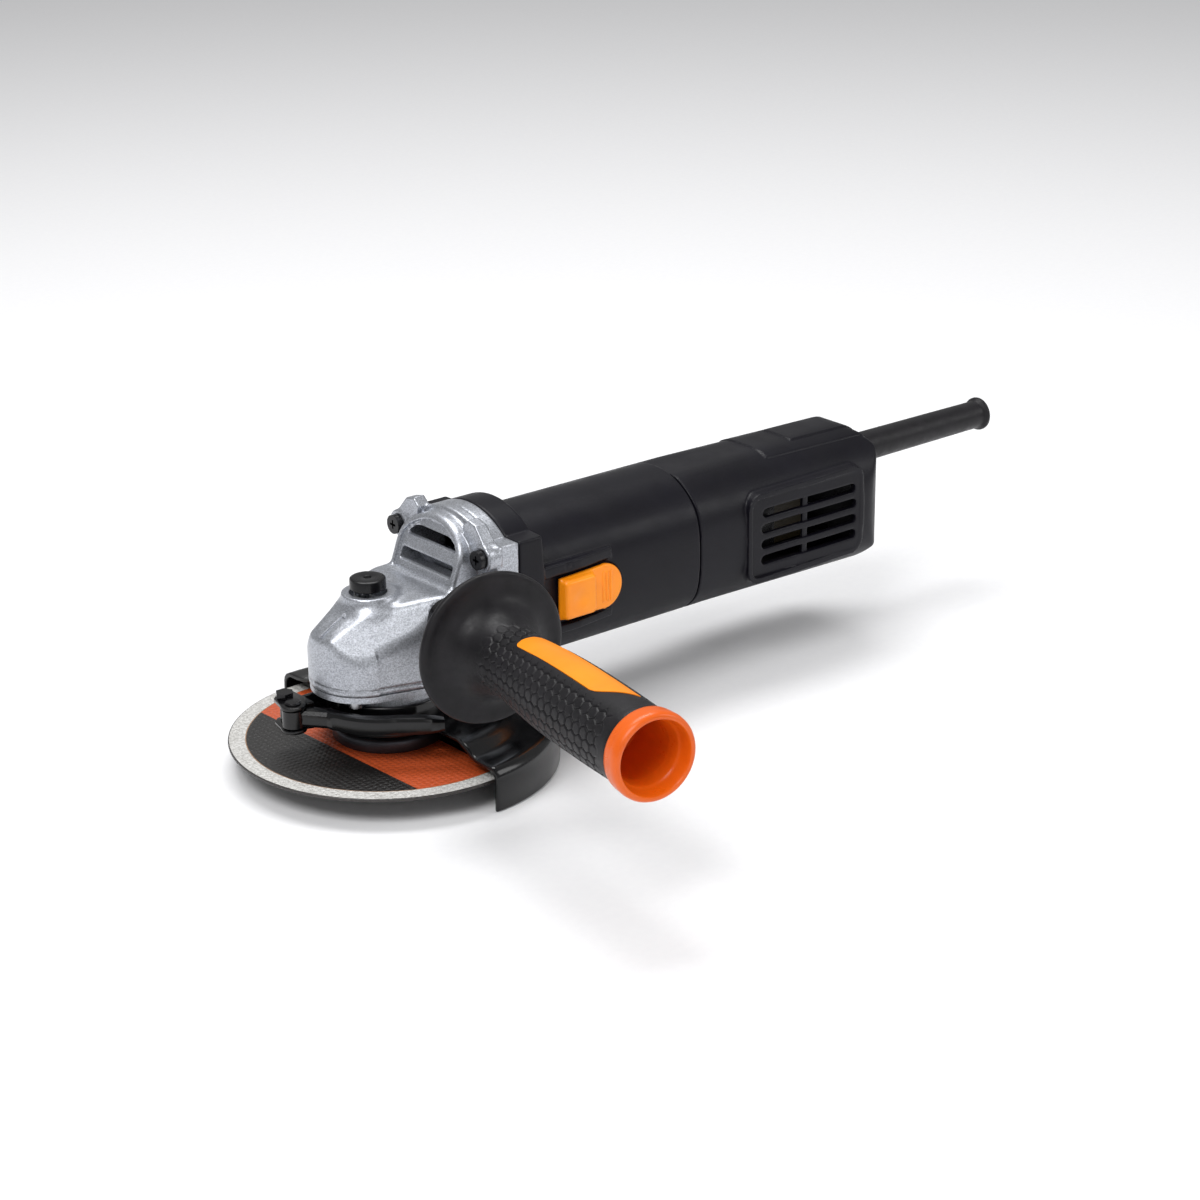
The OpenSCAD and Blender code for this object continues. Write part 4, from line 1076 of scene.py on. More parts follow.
@dataclass
class MotorBody:
    """The motor housing with its collar and switch ledges, and the rear cover with its vents."""

    r: float = 31.4
    side: float = 28.6
    under: float = 28.8
    wall: float = 2.6
    start: float = 41.7
    collar_end: float = 54.0
    collar: float = 31.0
    seam: float = 136.5
    tail: float = 244.0
    sleeve_up: float = 13.5
    sleeve_r: float = 6.3
    step: float = 0.62

    def bar(self, x, y, up, inset: float = 0.0, soft: float = 5.0) -> np.ndarray:
        """Distance to the body's endless section."""
        sides = smooth_max(np.abs(y) - self.side + inset, -self.under + inset - up, 6.0)
        return smooth_max(np.sqrt(y * y + up * up) - self.r + inset, sides, soft)

    def housing(self, x, y, z) -> np.ndarray:
        """The motor housing's field."""
        up = z - AXIS
        ay = np.abs(y)
        d = smooth_max(self.bar(x, y, up), x - self.seam, 1.0)
        over = np.sqrt(y * y + (up - 3.5) ** 2) - (self.collar + 3)
        shoulder = smooth_max(ay - self.collar, up - 29.0, 1.2)
        collar = np.minimum(smooth_max(over, ay - self.collar, 1.2), shoulder)
        collar = smooth_max(collar, -self.under - up, 1.6)
        slope = (x - self.collar_end - 0.6) * 0.99 + (np.sqrt(y * y + up * up) - self.r) * 0.12
        collar = smooth_max(collar, slope, 1.2)
        d = smooth_max(smooth_min(d, collar, 1.0), self.start - x, 1.0)
        # ledges above and below the switch: straight to x 72, then running out into the side
        out = np.maximum(x - 72, 0) * 0.13
        for lo, hi in ((10.4, 15.0), (-14.0, -10.8)):
            ledge = np.maximum(np.maximum(lo - up, up - hi - 0.9 * np.maximum(-30.4 - y, 0)), np.maximum(50 - x, x - 90))
            ledge = smooth_max(ledge, -y - self.collar + 0.5 + out, 0.9)
            d = smooth_min(d, np.maximum(ledge, y + 20), 0.5)
        eye = np.abs(np.sqrt((x - 66.5) ** 2 + (up - 13.0) ** 2) - 1.6) - 0.35
        d = np.maximum(d, -np.maximum(eye, np.maximum(y + 30.3, -y - 40)))
        # hollow inside, with the rear spider and brush posts
        hollow = np.maximum(self.bar(x, y, up, self.wall, 3.0), np.maximum(30 - x, x - 126))
        posts = np.maximum(np.maximum(np.abs(y) - 7.5, 20 - np.abs(up)), np.abs(x - 118) - 6.5)
        d = np.maximum(d, -np.maximum(hollow, -posts))
        d = np.maximum(d, -np.maximum(block(x, y, up, (112.9, -5.1, -24.6), (123.1, 5.1, 24.6)), -20 + 0 * x))
        rear = np.maximum(self.bar(x, y, up, self.wall, 3.0), np.maximum(134.6 - x, x - 150))
        d = np.maximum(d, -rear)
        arms = np.minimum(np.abs(y - up) / math.sqrt(2), np.abs(y + up) / math.sqrt(2)) - 3
        spider = np.minimum(arms, np.sqrt(y * y + up * up) - 14)
        ring = np.maximum(self.bar(x, y, up, self.wall, 3.0), np.maximum(125 - x, x - 135))
        d = np.maximum(d, -np.maximum(ring, -spider))
        d = np.maximum(d, -np.minimum(rod(y, up, x, 11.1, 126.9, 160), rod(y, up, x, 7.0, 110, 160)))
        for s in (1, -1):
            zc = 24.7 if s > 0 else -23.7
            d = np.maximum(d, -rod(ay - 26.8, up - zc, x, 2.2, 30, 53.6))
        # pocket and slot of the slide switch
        pocket = np.minimum(block(x, y, up, (54.2, -60, -9.9), (84.3, -self.side + 1.1, 9.8), 1.0),
                            rod(x - 84.4, up + 0.1, y, 9.9, -60, -self.side + 1.1))
        d = smooth_max(d, -pocket, 0.5)
        return np.maximum(d, -block(x, y, up, (64.1, -60, -5.4), (85.5, -20, -0.4)))

    def tail_bar(self, x, y, up, inset: float = 0.0) -> np.ndarray:
        """Distance to the tail's outline, rounded at its end."""
        fall = np.clip((x - 150) / (self.tail - 150), 0, 1)
        d = smooth_max(np.sqrt(y * y + (up + fall * 1.9) ** 2) - self.r + inset + 0.1 * fall,
                       smooth_max(np.abs(y) - self.side + inset, -self.under + inset - up, 6.0), 5.0)
        plan_r, side_r = 16.0 - inset / 2, 14.0
        px = np.maximum(x - (self.tail - inset - plan_r), 0)
        py = np.maximum(np.abs(y) - (self.side - inset - plan_r), 0)
        d = smooth_max(d, np.sqrt(px * px + py * py) - plan_r, 1.0)
        top = self.r - 2 - inset
        for edge, r in ((up - (top - side_r), side_r), (-up - (self.under - inset - 21), 21.0)):
            qx = np.maximum(x - (self.tail - inset - r), 0)
            d = smooth_max(d, np.sqrt(qx * qx + np.maximum(edge, 0) ** 2) - r, 1.0)
        return d

    def panel(self, x, up, grow: float) -> np.ndarray:
        """Distance to the vent panel's rounded outline, in the side's plane."""
        qx = np.abs(x - 194.85) - 26.65
        qz = np.abs(up + 0.45) - 13.05
        return np.sqrt(np.maximum(qx, 0) ** 2 + np.maximum(qz, 0) ** 2) + np.minimum(np.maximum(qx, qz), 0) - 4 - grow

    def cover(self, x, y, z) -> np.ndarray:
        """The rear cover's field."""
        up = z - AXIS
        ay = np.abs(y)
        d = smooth_max(self.tail_bar(x, y, up), self.seam + 0.5 - x, 0.5)
        # raised frame round the vents and a sunk panel inside it, both dying away towards the tail
        fade = np.clip((226 - x) / 56, 0, 1)
        frame = np.maximum(self.panel(x, up, 2.4), ay - self.side - 0.75 * fade)
        d = smooth_min(d, np.maximum(frame, self.side - 5 - ay), 0.9)
        d = smooth_max(d, -np.maximum(self.panel(x, up, 0.0), self.side - 0.9 * fade - ay), 0.4)
        # two raised steps on top
        skin = self.tail_bar(x, y, up)
        outer = np.maximum(ay - 14.8, 184.5 - x)
        inner = np.maximum(ay - 8.8, 203.5 - x)
        d = smooth_min(d, np.maximum(smooth_max(outer, skin - 0.5, 0.5), 20 - up), 0.4)
        d = smooth_min(d, np.maximum(smooth_max(inner, skin - 1.0, 0.5), 20 - up), 0.4)
        # hollow, with the sleeve's block and the screw bosses left standing
        hollow = np.maximum(self.tail_bar(x, y, up, self.wall), 120 - x)
        keep = block(x, y, up, (self.tail - 22, -11, 3), (self.tail + 5, 11, 24), 1.0)
        for sx in (150, self.tail - 16):
            keep = np.minimum(keep, rod(x - sx, y, up, 5, -40, -self.under + 12))
        d = np.maximum(d, -np.maximum(hollow, -keep))
        for i in range(4):
            zc = 9.4 - 6.8 * i
            qx = np.maximum(np.abs(x - 197) - 24.5 + 0.6 * (i == 0), 0)
            slot = np.maximum(np.sqrt(qx * qx + (up - zc) ** 2) - 2.0, 18 - ay)
            # a bar set a little behind the face divides each slot
            slot = np.maximum(slot, -np.maximum(np.abs(x - 195.3) - 1.4, ay - self.side + 1.5))
            d = smooth_max(d, -slot, 0.4)
        d = np.maximum(d, -rod(y, up - self.sleeve_up, x, self.sleeve_r + 0.15, self.tail - 30, self.tail + 10))
        d = np.maximum(d, -rod(y, up - self.sleeve_up, x, self.sleeve_r + 2.15, self.tail - 16.1, self.tail - 8))
        for sx in (150, self.tail - 16):
            d = np.maximum(d, -rod(x - sx, y, up, 1.95, -60, -self.under + 11))
            d = np.maximum(d, -rod(x - sx, y, up, 3.7, -60, -self.under + 2))
        return d

    def build(self, repeat: "Repeat") -> None:
        """Make the housing, the cover, the cover's screws and the cord sleeve.

        Args:
            repeat: The tree that sets the screws.
        """
        housing = field_object("motor_housing_shell", self.housing, (40.5, -32.5, 23.5), (137.8, 32.5, 93.0),
                               self.step, NYLON)
        fitted(housing, "machine", NYLON, "motor_housing")
        cover = field_object("rear_cover_shell", self.cover, (135.8, -30.5, 23.5), (245.5, 30.5, 86.5), self.step, NYLON)
        fitted(cover, "machine", NYLON, "rear_cover")
        head = pan_head("cover_screw_pattern", 3.2, 1.9, 0.9)
        spots = [(x, 0, AXIS - self.under + 0.1) for x in (150, self.tail - 16)]
        fitted(repeat.lay("rear_screw_heads", spots, head, SCREW), "machine", SCREW)
        bpy.data.objects.remove(head)
        self.sleeve()

    def sleeve(self) -> None:
        """The rubber sleeve that keeps the cord from kinking, with its flared lip."""
        r, x0, x1 = self.sleeve_r, self.tail, self.tail + 83
        bore = 4.2
        line = [(bore, x0 - 21.6), (r, x0 - 21.6), (r, x0 - 16), (r + 2, x0 - 16), (r + 2, x0 - 8.1),
                (r, x0 - 8.1), (r, x0 + 0.3), (r + 0.3, x0 + 0.5)]
        line += [(r + 0.3 - 0.5 * t, x0 + 0.5 + 78 * t) for t in np.linspace(0.04, 1, 12)]
        line += [(r - 0.15, x1 - 3.4), (r + 0.1, x1 - 2.7), (r + 0.75, x1 - 2.1), (r + 1.0, x1 - 1.5),
                 (r + 1.05, x1 - 0.8), (r + 0.9, x1 - 0.25), (r + 0.5, x1), (bore + 0.7, x1), (bore, x1 - 0.8)]
        stand = Matrix.Translation((0, 0, AXIS + self.sleeve_up)) @ Euler((0, math.radians(90), 0)).to_matrix().to_4x4()
        piece = turned("cord_sleeve_rubber", line, RUBBER, 72, place=stand)
        fitted(piece, "machine", RUBBER, "cord_sleeve")


# ---- side handle ----


@dataclass
class SideHandle:
    """The side handle: rubber flange and honeycomb grip, orange inlay strip and end ring."""

    lean: float = 9.0
    root: tuple[float, float, float] = (13.0, 0.0, 59.5)
    at: float = 64.4
    end: float = 180.0
    flange: float = 29.6
    grip: float = 15.4
    cell: float = 4.8
    groove: float = 0.62
    hollow: float = 11.6  # radius of the end hollow
    hollow_deep: float = 32.0
    strip_in: float = 28.0  # of the inlay strip's inner end, from the flange
    strip_out: float = 27.0  # of its outer end, from the handle's end
    strip_half: float = 6.3

    def stand(self) -> Matrix:
        """Matrix from the handle's own frame (+Z outwards, +Y up) to the row frame."""
        turn = Euler((math.radians(90), 0, math.radians(-self.lean)), "XYZ").to_matrix().to_4x4()
        return Matrix.Translation(self.root) @ turn

    def line(self) -> tuple[np.ndarray, np.ndarray]:
        """Finely sampled outline of the grip as (distance along, radius)."""
        at, end, f, g = self.at, self.end, self.flange, self.grip
        knots = [(at - 13.8, 13.2), (at - 11.5, 14.4), (at - 8.5, 17.2), (at - 6, 21.5), (at - 4, 26.0), (at - 2.6, f - 1.0),
                 (at - 1.4, f - 0.1), (at - 0.3, f), (at + 0.5, f - 0.5), (at + 0.9, f - 1.6), (at + 1.0, f - 4),
                 (at + 1.6, 22.5), (at + 3.2, 19.4), (at + 5.8, 17.0), (at + 9.5, 15.1), (at + 14.5, 13.9),
                 (at + 20, 13.35), (at + 27, 13.5), (at + 36, 14.2), (at + 48, 15.0), (at + 62, g), (at + 76, g + 0.05),
                 (at + 90, g - 0.1), (end - 13, g - 0.45), (end - 10.2, g - 0.6), (end - 9.2, g - 0.8)]
        s, r = np.array(knots, float).T
        step = np.concatenate([[0], np.cumsum(np.hypot(np.diff(s), np.diff(r)))])
        bare = float(np.interp(at + 11, s, step))
        fine = np.concatenate([np.linspace(0, bare, 90, endpoint=False), np.linspace(bare, step[-1], 300)])
        return smooth_curve(step, s, fine), smooth_curve(step, r, fine)

    def relief(self, s: np.ndarray, turn: np.ndarray) -> np.ndarray:
        """Depth of the honeycomb grooves, fading out near the flange and the ring.

        Args:
            s: Distance along the handle.
            turn: Angle from the top, in radians.

        Returns:
            Depth in mm.
        """
        w, h = self.cell, self.cell * math.sqrt(3)
        # as many cells round the grip as fit at its thickest
        arc = turn / math.pi * round(math.pi * self.grip / h) * h
        best = np.full(s.shape, 9.0)
        for ox, oy in ((0, 0), (0.5, 0.5)):
            dx = (s / w - ox - np.round(s / w - ox)) * w
            dy = (arc / h - oy - np.round(arc / h - oy)) * h
            best = np.minimum(best, np.maximum(np.abs(dx), np.abs(dx) * 0.5 + np.abs(dy) * math.sqrt(3) / 2))
        groove = np.clip((best - self.cell / 2 + 0.42) / 0.34, 0, 1)
        fade = np.clip((s - self.at - 12) / 6, 0, 1) * np.clip((self.end - 14 - s) / 3, 0, 1)
        plain = np.clip((np.abs(turn) * self.grip - self.strip_half - 1.6) / 1.0, 0, 1)
        return self.groove * groove * fade * np.where(s < self.at + self.strip_in - 1.5, 1, plain)

    def grip_piece(self) -> bpy.types.Object:
        """The rubber flange and grip, with a seat left for the inlay strip."""
        s, r = self.line()
        n = 244
        turn = np.linspace(-math.pi, math.pi, n, endpoint=False)
        ss, tt = np.meshgrid(s, turn, indexing="ij")
        rr = np.repeat(r[:, None], n, 1)
        rr = rr - self.relief(ss, tt)
        seat = (np.abs(tt) * rr < self.half(ss) - 0.3) & (ss > self.at + self.strip_in) & (ss < self.end - self.strip_out - 7)
        rr = np.where(seat, rr - 0.9, rr)
        outer = np.stack([rr * np.sin(tt), rr * np.cos(tt), ss], 2).reshape(-1, 3)
        wide, open_at = self.hollow + 1.65, self.end - self.hollow_deep - 6
        rings_in = [np.stack([b * np.sin(turn), b * np.cos(turn), np.full(n, at)], 1)
                    for b, at in ((wide, s[-1]), (wide, open_at + 0.9), (9.1, open_at - 0.1), (9.1, s[0]))]
        pts = np.concatenate([outer] + rings_in)
        rings = len(s) + 4
        faces = []
        for i in range(rings):
            j = (i + 1) % rings
            for k in range(n):
                m = (k + 1) % n
                faces.append((i * n + k, i * n + m, j * n + m, j * n + k))
        return solid("grip_rubber", pts, faces, RUBBER, self.stand(), smooth=60)

    def half(self, s: np.ndarray) -> np.ndarray:
        """Half width of the inlay strip along the handle, with rounded corners at its inner end."""
        lead = np.clip((s - self.at - self.strip_in) / 3.0, 0, 1)
        return self.strip_half - 3.0 * (1 - np.sqrt(1 - (1 - lead) ** 2 + 1e-6))

    def strip_piece(self) -> bpy.types.Object:
        """The orange inlay strip, standing a little proud, with an angled outer end."""
        s_line, r_line = self.line()
        rows, cols = 90, 24
        pts = []
        start, stop = self.at + self.strip_in, self.end - self.strip_out
        for layer, lift in ((0, 0.3), (1, -1.4)):
            for i in range(rows):
                for j in range(cols):
                    side = 2 * j / (cols - 1) - 1
                    # the outer end runs on further on one side, in a hollow curve
                    reach = stop + 7.0 * ((side + 1) / 2) ** 0.6 * 2 - 7.0
                    s = start + (reach - start) * i / (rows - 1)
                    half = float(self.half(np.array(s))) * (0.97 if layer == 0 else 1.0)
                    r = float(np.interp(s, s_line, r_line))
                    crown = 1 - abs(side) ** 8 * 0.35
                    radius = r + (lift * crown if layer == 0 else lift)
                    angle = side * half / r
                    pts.append((radius * math.sin(angle), radius * math.cos(angle), s))
        faces = []
        block_size = rows * cols
        for i in range(rows - 1):
            for j in range(cols - 1):
                a = i * cols + j
                faces.append((a, a + 1, a + cols + 1, a + cols))
                faces.append((block_size + a, block_size + a + cols, block_size + a + cols + 1, block_size + a + 1))
        rim = [i * cols for i in range(rows)] + [(rows - 1) * cols + j for j in range(1, cols)]
        rim += [i * cols + cols - 1 for i in range(rows - 2, -1, -1)] + [j for j in range(cols - 2, 0, -1)]
        for a, b in zip(rim, rim[1:] + rim[:1]):
            faces.append((a, b, block_size + b, block_size + a))
        return solid("inlay_strip", np.array(pts), faces, ORANGE, self.stand(), smooth=50)

    def ring_piece(self) -> bpy.types.Object:
        """The orange end ring with its deep stepped hollow."""
        g, end = self.grip, self.end
        h, deep = self.hollow, self.hollow_deep
        line = [(h + 1.6, end - 8.8), (g - 0.5, end - 8.8), (g + 0.2, end - 8.6), (g + 0.7, end - 8.0), (g + 0.9, end - 6.6),
                (g + 0.85, end - 5.2), (g + 0.95, end - 4.2), (g + 1.1, end - 3.0), (g + 0.95, end - 1.6), (g + 0.5, end - 0.6),
                (g - 0.1, end - 0.1), (g - 0.7, end), (g - 1.3, end - 0.25), (g - 1.65, end - 0.9), (g - 1.8, end - 2.2),
                (g - 2.3, end - 4.6), (g - 2.6, end - 5.4), (h + 0.9, end - 5.8), (h + 0.6, end - 6.4), (h + 0.45, end - 9.5),
                (h + 0.2, end - 10.2), (h, end - 11), (h - 0.1, end - deep + 1), (h - 1, end - deep), (0.01, end - deep),
                (0.01, end - deep - 1.6), (h + 1.6, end - deep - 1.6)]
        return turned("grip_end_ring", line, RING, 96, place=self.stand())

    def build(self) -> None:
        """Make the grip, the strip, the ring and the core's neck."""
        fitted(self.grip_piece(), "machine", RUBBER, "handle_grip")
        fitted(self.ring_piece(), "machine", RING, "handle_core")
        fitted(self.strip_piece(), "machine", ORANGE)
        at = self.at
        back = self.end - self.hollow_deep - 6.2
        neck = [(4.02, 27.7), (7.4, 27.7), (8.0, 28.3), (8.2, 32), (8.5, at - 14.4), (8.9, at - 13.9), (8.9, back),
                (0.01, back), (0.01, 76.5), (4.02, 76.5)]
        fitted(turned("handle_neck", neck, ABS, 64, place=self.stand()), "machine", ABS)


def smooth_curve(t: np.ndarray, v: np.ndarray, at: np.ndarray) -> np.ndarray:
    """Interpolate values along a line with a smooth curve that doesn't overshoot.

    Args:
        t: Known positions.
        v: Known values.
        at: Positions wanted.

    Returns:
        The values there.
    """
    slope = np.gradient(v, t)
    step = np.diff(v) / np.diff(t)
    for i in range(1, len(v) - 1):
        if step[i - 1] * step[i] <= 0:
            slope[i] = 0
    i = np.clip(np.searchsorted(t, at) - 1, 0, len(t) - 2)
    h = t[i + 1] - t[i]
    u = (at - t[i]) / h
    return ((2 * u**3 - 3 * u**2 + 1) * v[i] + (u**3 - 2 * u**2 + u) * h * slope[i]
            + (3 * u**2 - 2 * u**3) * v[i + 1] + (u**3 - u**2) * h * slope[i + 1])


# ---- guard ----


@dataclass
class Guard:
    """The tool-free guard: dished plate with skirt, clamping band, clevis and lever."""

    r: float = 66.5
    sheet: float = 1.6
    drop: float = 6.0
    ring_r: float = 28.0
    band_r: float = 23.58
    band_t: float = 2.0
    band_z: float = 16.8
    band_top: float = 26.4
    pin: tuple[float, float] = (-41.5, 3.5)
    lever_z: tuple[float, float] = (18.5, 26.1)

    def shell(self) -> bpy.types.Object:
        """Dished plate and skirt, turned over half a circle, with a flat inner ring."""
        zc, zr, t, r = self.band_z, AXIS - 42, self.sheet, self.r
        top = [(self.ring_r - 0.5, zc), (42.5, zc), (44.5, zc - 0.25), (47.0, zc - 1.3), (49.3, zr + 2.9), (51.5, zr + 1.1),
               (54.0, zr + 0.25), (57.5, zr), (r - 5.0, zr), (r - 3.2, zr - 0.15), (r - 1.7, zr - 0.9),
               (r - 0.6, zr - 2.2), (r - 0.1, zr - 4.0), (r, zr - 6.0), (r, -self.drop + 0.9), (r - 0.2, -self.drop + 0.2)]
        under = [(r - t + 0.1, -self.drop), (r - t, -self.drop + 0.6), (r - t, zr - 6.0), (r - t - 0.2, zr - 4.2), (r - t - 0.8, zr - 2.9),
                 (r - t - 2.0, zr - 1.9), (r - 4.5, zr - t), (57.5, zr - t), (53.6, zr - t + 0.25), (50.4, zr - t + 1.2),
                 (48.0, zr - t + 2.9), (45.6, zc - t - 1.3), (43.8, zc - t - 0.2), (42.2, zc - t), (self.ring_r - 0.5, zc - t)]
        plate_part = turned("guard_plate", list(reversed(top + under)), ENAMEL, 120, -88.5, 182.5, bevel=0.35)
        ring = [(self.band_r, zc - t), (self.ring_r, zc - t), (self.ring_r, zc - 0.02), (self.band_r, zc - 0.02)]
        return joined("guard_sheet", [plate_part, turned("guard_ring", ring, ENAMEL, 120, bevel=0.3)])

    def band(self) -> bpy.types.Object:
        """The split band with a rolled top edge."""
        r0, r1, z0, z1 = self.band_r, self.band_r + self.band_t, self.band_z + 0.02, self.band_top
        line = [(r0, z0), (r1, z0), (r1, z1 - 0.5), (r1 - 0.15, z1 - 0.15), (r1 - 0.5, z1), (r0 + 0.4, z1), (r0, z1 - 0.4)]
        return turned("band_ring", line, ENAMEL, 110, 173.7, 356.6, bevel=0.2)

    def clevis(self) -> bpy.types.Object:
        """Two ears with a web, where the lever and the bolt are held."""
        px, py = self.pin
        around = [(px + 5 * math.cos(math.radians(a)), py + 5 * math.sin(math.radians(a))) for a in range(150, 331, 12)]
        ear = [(-34.2, 0.0)] + [(-34.2, 15.0), (-41.5, 15.0), (-44.3, 12.4)] + around
        z0, z1 = self.lever_z
        parts = [plate("ear_low", ear, self.band_z + 0.02, z0 - 0.25, ENAMEL, 0.3),
                 plate("ear_high", ear, z1 + 0.25, z1 + 1.7, ENAMEL, 0.3),
                 plate("ear_web", [(-37.4, 9.4), (-34.2, 9.4), (-34.2, 15), (-37.4, 15)], self.band_z + 0.1, z1 + 1.2, ENAMEL, 0.3),
                 plate("ear_tie", [(-36, 9.4), (-23.2, 9.4), (-22.6, 11.4), (-36, 11.4)], self.band_z + 0.1, self.band_top - 0.1, ENAMEL, 0.3)]
        return joined("guard_clevis", parts)

    def lever(self) -> bpy.types.Object:
        """The curved lever with its eye, a raised rib and a flared tip."""
        z0, z1 = self.lever_z
        angles = np.radians(np.arange(-168, -92.5, 1.5))
        bend = np.clip((np.degrees(angles) + 120) / 27, 0, 1)
        mid = 33.4 + 6 * bend**1.4
        spine = np.concatenate([[self.pin], np.stack([mid * np.cos(angles), mid * np.sin(angles)], 1)])
        run = np.gradient(spine, axis=0)
        run /= np.linalg.norm(run, axis=1)[:, None]
        out = np.stack([run[:, 1], -run[:, 0]], 1)
        n = len(spine)
        along = np.linspace(0, 1, n)
        half = np.where(along < 0.1, 2.2, 1.8) * np.where(along > 0.97, 0.8, 1.0)
        zm, zh = (z0 + z1) / 2, (z1 - z0) / 2
        section = [(-1, -1), (-0.35, -1), (0.55, -0.86), (0.95, -0.5), (0.78, 0.0), (0.95, 0.5), (0.55, 0.86), (-0.35, 1), (-1, 1)]
        squeeze = 1 - 0.35 * np.clip((along - 0.82) / 0.18, 0, 1) ** 2
        pts = []
        for i in range(n):
            for a, b in section:
                p = spine[i] + out[i] * half[i] * a
                pts.append((p[0], p[1], zm + zh * b * squeeze[i]))
        m = len(section)
        faces = [(i * m + k, (i + 1) * m + k, (i + 1) * m + (k + 1) % m, i * m + (k + 1) % m)
                 for i in range(n - 1) for k in range(m)]
        faces += [tuple(range(m)), tuple(range(n * m - 1, (n - 1) * m - 1, -1))]
        bar = solid("lever_bar", np.array(pts), faces, ENAMEL, None, 0.0, smooth=40)
        px, py = self.pin
        eye = turned("lever_eye", [(2.05, z0), (4.0, z0), (4.4, z0 + 0.4), (4.4, z1 - 0.4), (4.0, z1), (2.05, z1)],
                     ENAMEL, 40, place=Matrix.Translation((px, py, 0)))
        return joined("clamp_lever_arm", [bar, eye])

    def build(self) -> None:
        """Make the guard's pieces and hand them over."""
        fitted(self.shell(), "guard_group", ENAMEL, "guard_shell")
        fitted(self.band(), "guard_group", ENAMEL, "guard_band")
        fitted(self.clevis(), "guard_group", ENAMEL, "guard_bracket")
        fitted(self.lever(), "lever_group", ENAMEL, "clamp_lever")
        px, py = self.pin
        z1 = self.lever_z[1]
        pin = [(0.01, self.band_z + 0.1), (1.95, self.band_z + 0.1), (1.95, z1 + 1.8), (3.2, z1 + 1.8), (3.2, z1 + 2.3),
               (2.7, z1 + 2.75), (0.01, z1 + 2.85)]
        fitted(turned("lever_pin_head", pin, SCREW, 40, place=Matrix.Translation((px, py, 0))), "guard_group", SCREW, "lever_pin")


# ---- disc, controls ----


@dataclass
class Disc:
    """The cutting disc and the flanges that hold it."""

    r: float = 62.5
    hole: float = 14.115
    low: float = 4.5
    top: float = 5.7

    def build(self) -> None:
        """Make the disc with its worn, slightly rounded edge and the inner flange."""
        r, h, a, b = self.r, self.hole, self.low, self.top
        line = [(h, a)] + [(h + (r - 0.3 - h) * t, a) for t in np.linspace(0.1, 1, 10)]
        line += [(r - 0.05, a + 0.25), (r, (a + b) / 2), (r - 0.05, b - 0.25), (r - 0.3, b)]
        line += [(h + (r - 0.3 - h) * t, b) for t in np.linspace(0.9, 0.1, 9)] + [(h, b)]
        finish = DiscFinish()
        fitted(turned("abrasive_disc", line, finish, 160), "spindle_group", finish, "cutting_disc")
        t = self.top
        flange = [(7.05, 4.7), (10.5, 4.7), (10.5, t), (20.6, t), (21.7, t + 0.15), (22, t + 0.6), (22, t + 4.3), (21.8, t + 4.8), (21.3, t + 5.3),
                  (20.7, t + 5.5), (13.2, t + 5.5), (12.3, t + 5.8), (12, t + 6.4), (12, t + 8.1), (7.05, t + 8.1)]
        fitted(turned("disc_seat_flange", flange, OXIDE, 96), "spindle_group", OXIDE, "inner_flange")


@dataclass
class Controls:
    """The slide switch and the spindle lock."""

    x: float = 62.5
    length: float = 31.5
    face: float = -27.8
    step: float = 0.3

    def slider(self, x, y, z) -> np.ndarray:
        """The slider's field: a base plate with a round rear end and a raised thumb block."""
        up = z - AXIS
        end = self.x + self.length - 9.6
        qx = np.maximum(x - end, 0)
        outline = np.where(x > end, np.sqrt(qx * qx + (up + 0.1) ** 2) - 9.4, np.maximum(np.abs(up + 0.1) - 8.35 - (x - self.x) / 22 * 0.9, self.x - x))
        base = smooth_max(outline, np.maximum(self.face - 2.3 - y, y - self.face), 1.1)
        lean = (y - self.face + 5.9) * 0.22
        thumb = smooth_max(np.abs(up + 0.1) - 7.7 - lean, np.maximum(self.x + 0.4 - lean - x, x - self.x - 15.4 - lean), 2.0)
        thumb = smooth_max(thumb, np.maximum(self.face - 5.9 - y, y - self.face + 1), 1.5)
        dish = np.sqrt((x - self.x - 7.6) ** 2 + (up + 0.1) ** 2 + (y - self.face + 5.9 + 9.6) ** 2) - 10.2
        thumb = smooth_max(thumb, -dish, 0.5)
        d = smooth_min(base, thumb, 0.8)
        for i in range(3):
            rib = np.abs(x - self.x - 21.4 - 1.9 * i) - 0.45
            rib = np.maximum(np.maximum(rib, np.abs(up + 0.1) - 6.2), np.maximum(self.face - 2.75 - y, y - self.face + 1))
            d = smooth_min(d, rib, 0.5)
        foot = block(x, y, up, (self.x + 9.2, self.face - 1, -5), (self.x + 22, -25.25, -0.8), 0.2)
        return np.minimum(d, foot)

    def build(self, winding: "Winding") -> None:
        """Make the slider, the lock button and its spring.

        Args:
            winding: The tree that winds the spring.
        """
        slider = field_object("switch_thumb", self.slider, (61, -35.2, 43), (95, -24.4, 64), self.step, ORANGE)
        fitted(slider, "switch_group", ORANGE, "switch_slider")
        z, r = 67.3, 7.0
        top = [(0.01, z), (2.0, z), (r - 0.4, z), (r, z + 0.4), (r, z + 3.7), (r - 0.15, z + 4.2), (r - 0.6, z + 4.5), (r - 1.3, z + 4.6),
               (2.0, z + 4.6), (1.6, z + 4.45), (1.35, z + 3.9), (0.01, z + 3.8)]
        button = turned("lock_button_cap", top, ABS, 72, place=Matrix.Translation((-7.4, 0, 0)))
        fitted(button, "lock_group", ABS, "lock_button")
        coil = winding.wind("lock_spring_coil", 2.0, 3.3, 4.3, 0.45, (-9.5, 0, 61.75), STEEL)
        fitted(coil, "machine", STEEL, "lock_spring")


# ---- the rest of the frame ----

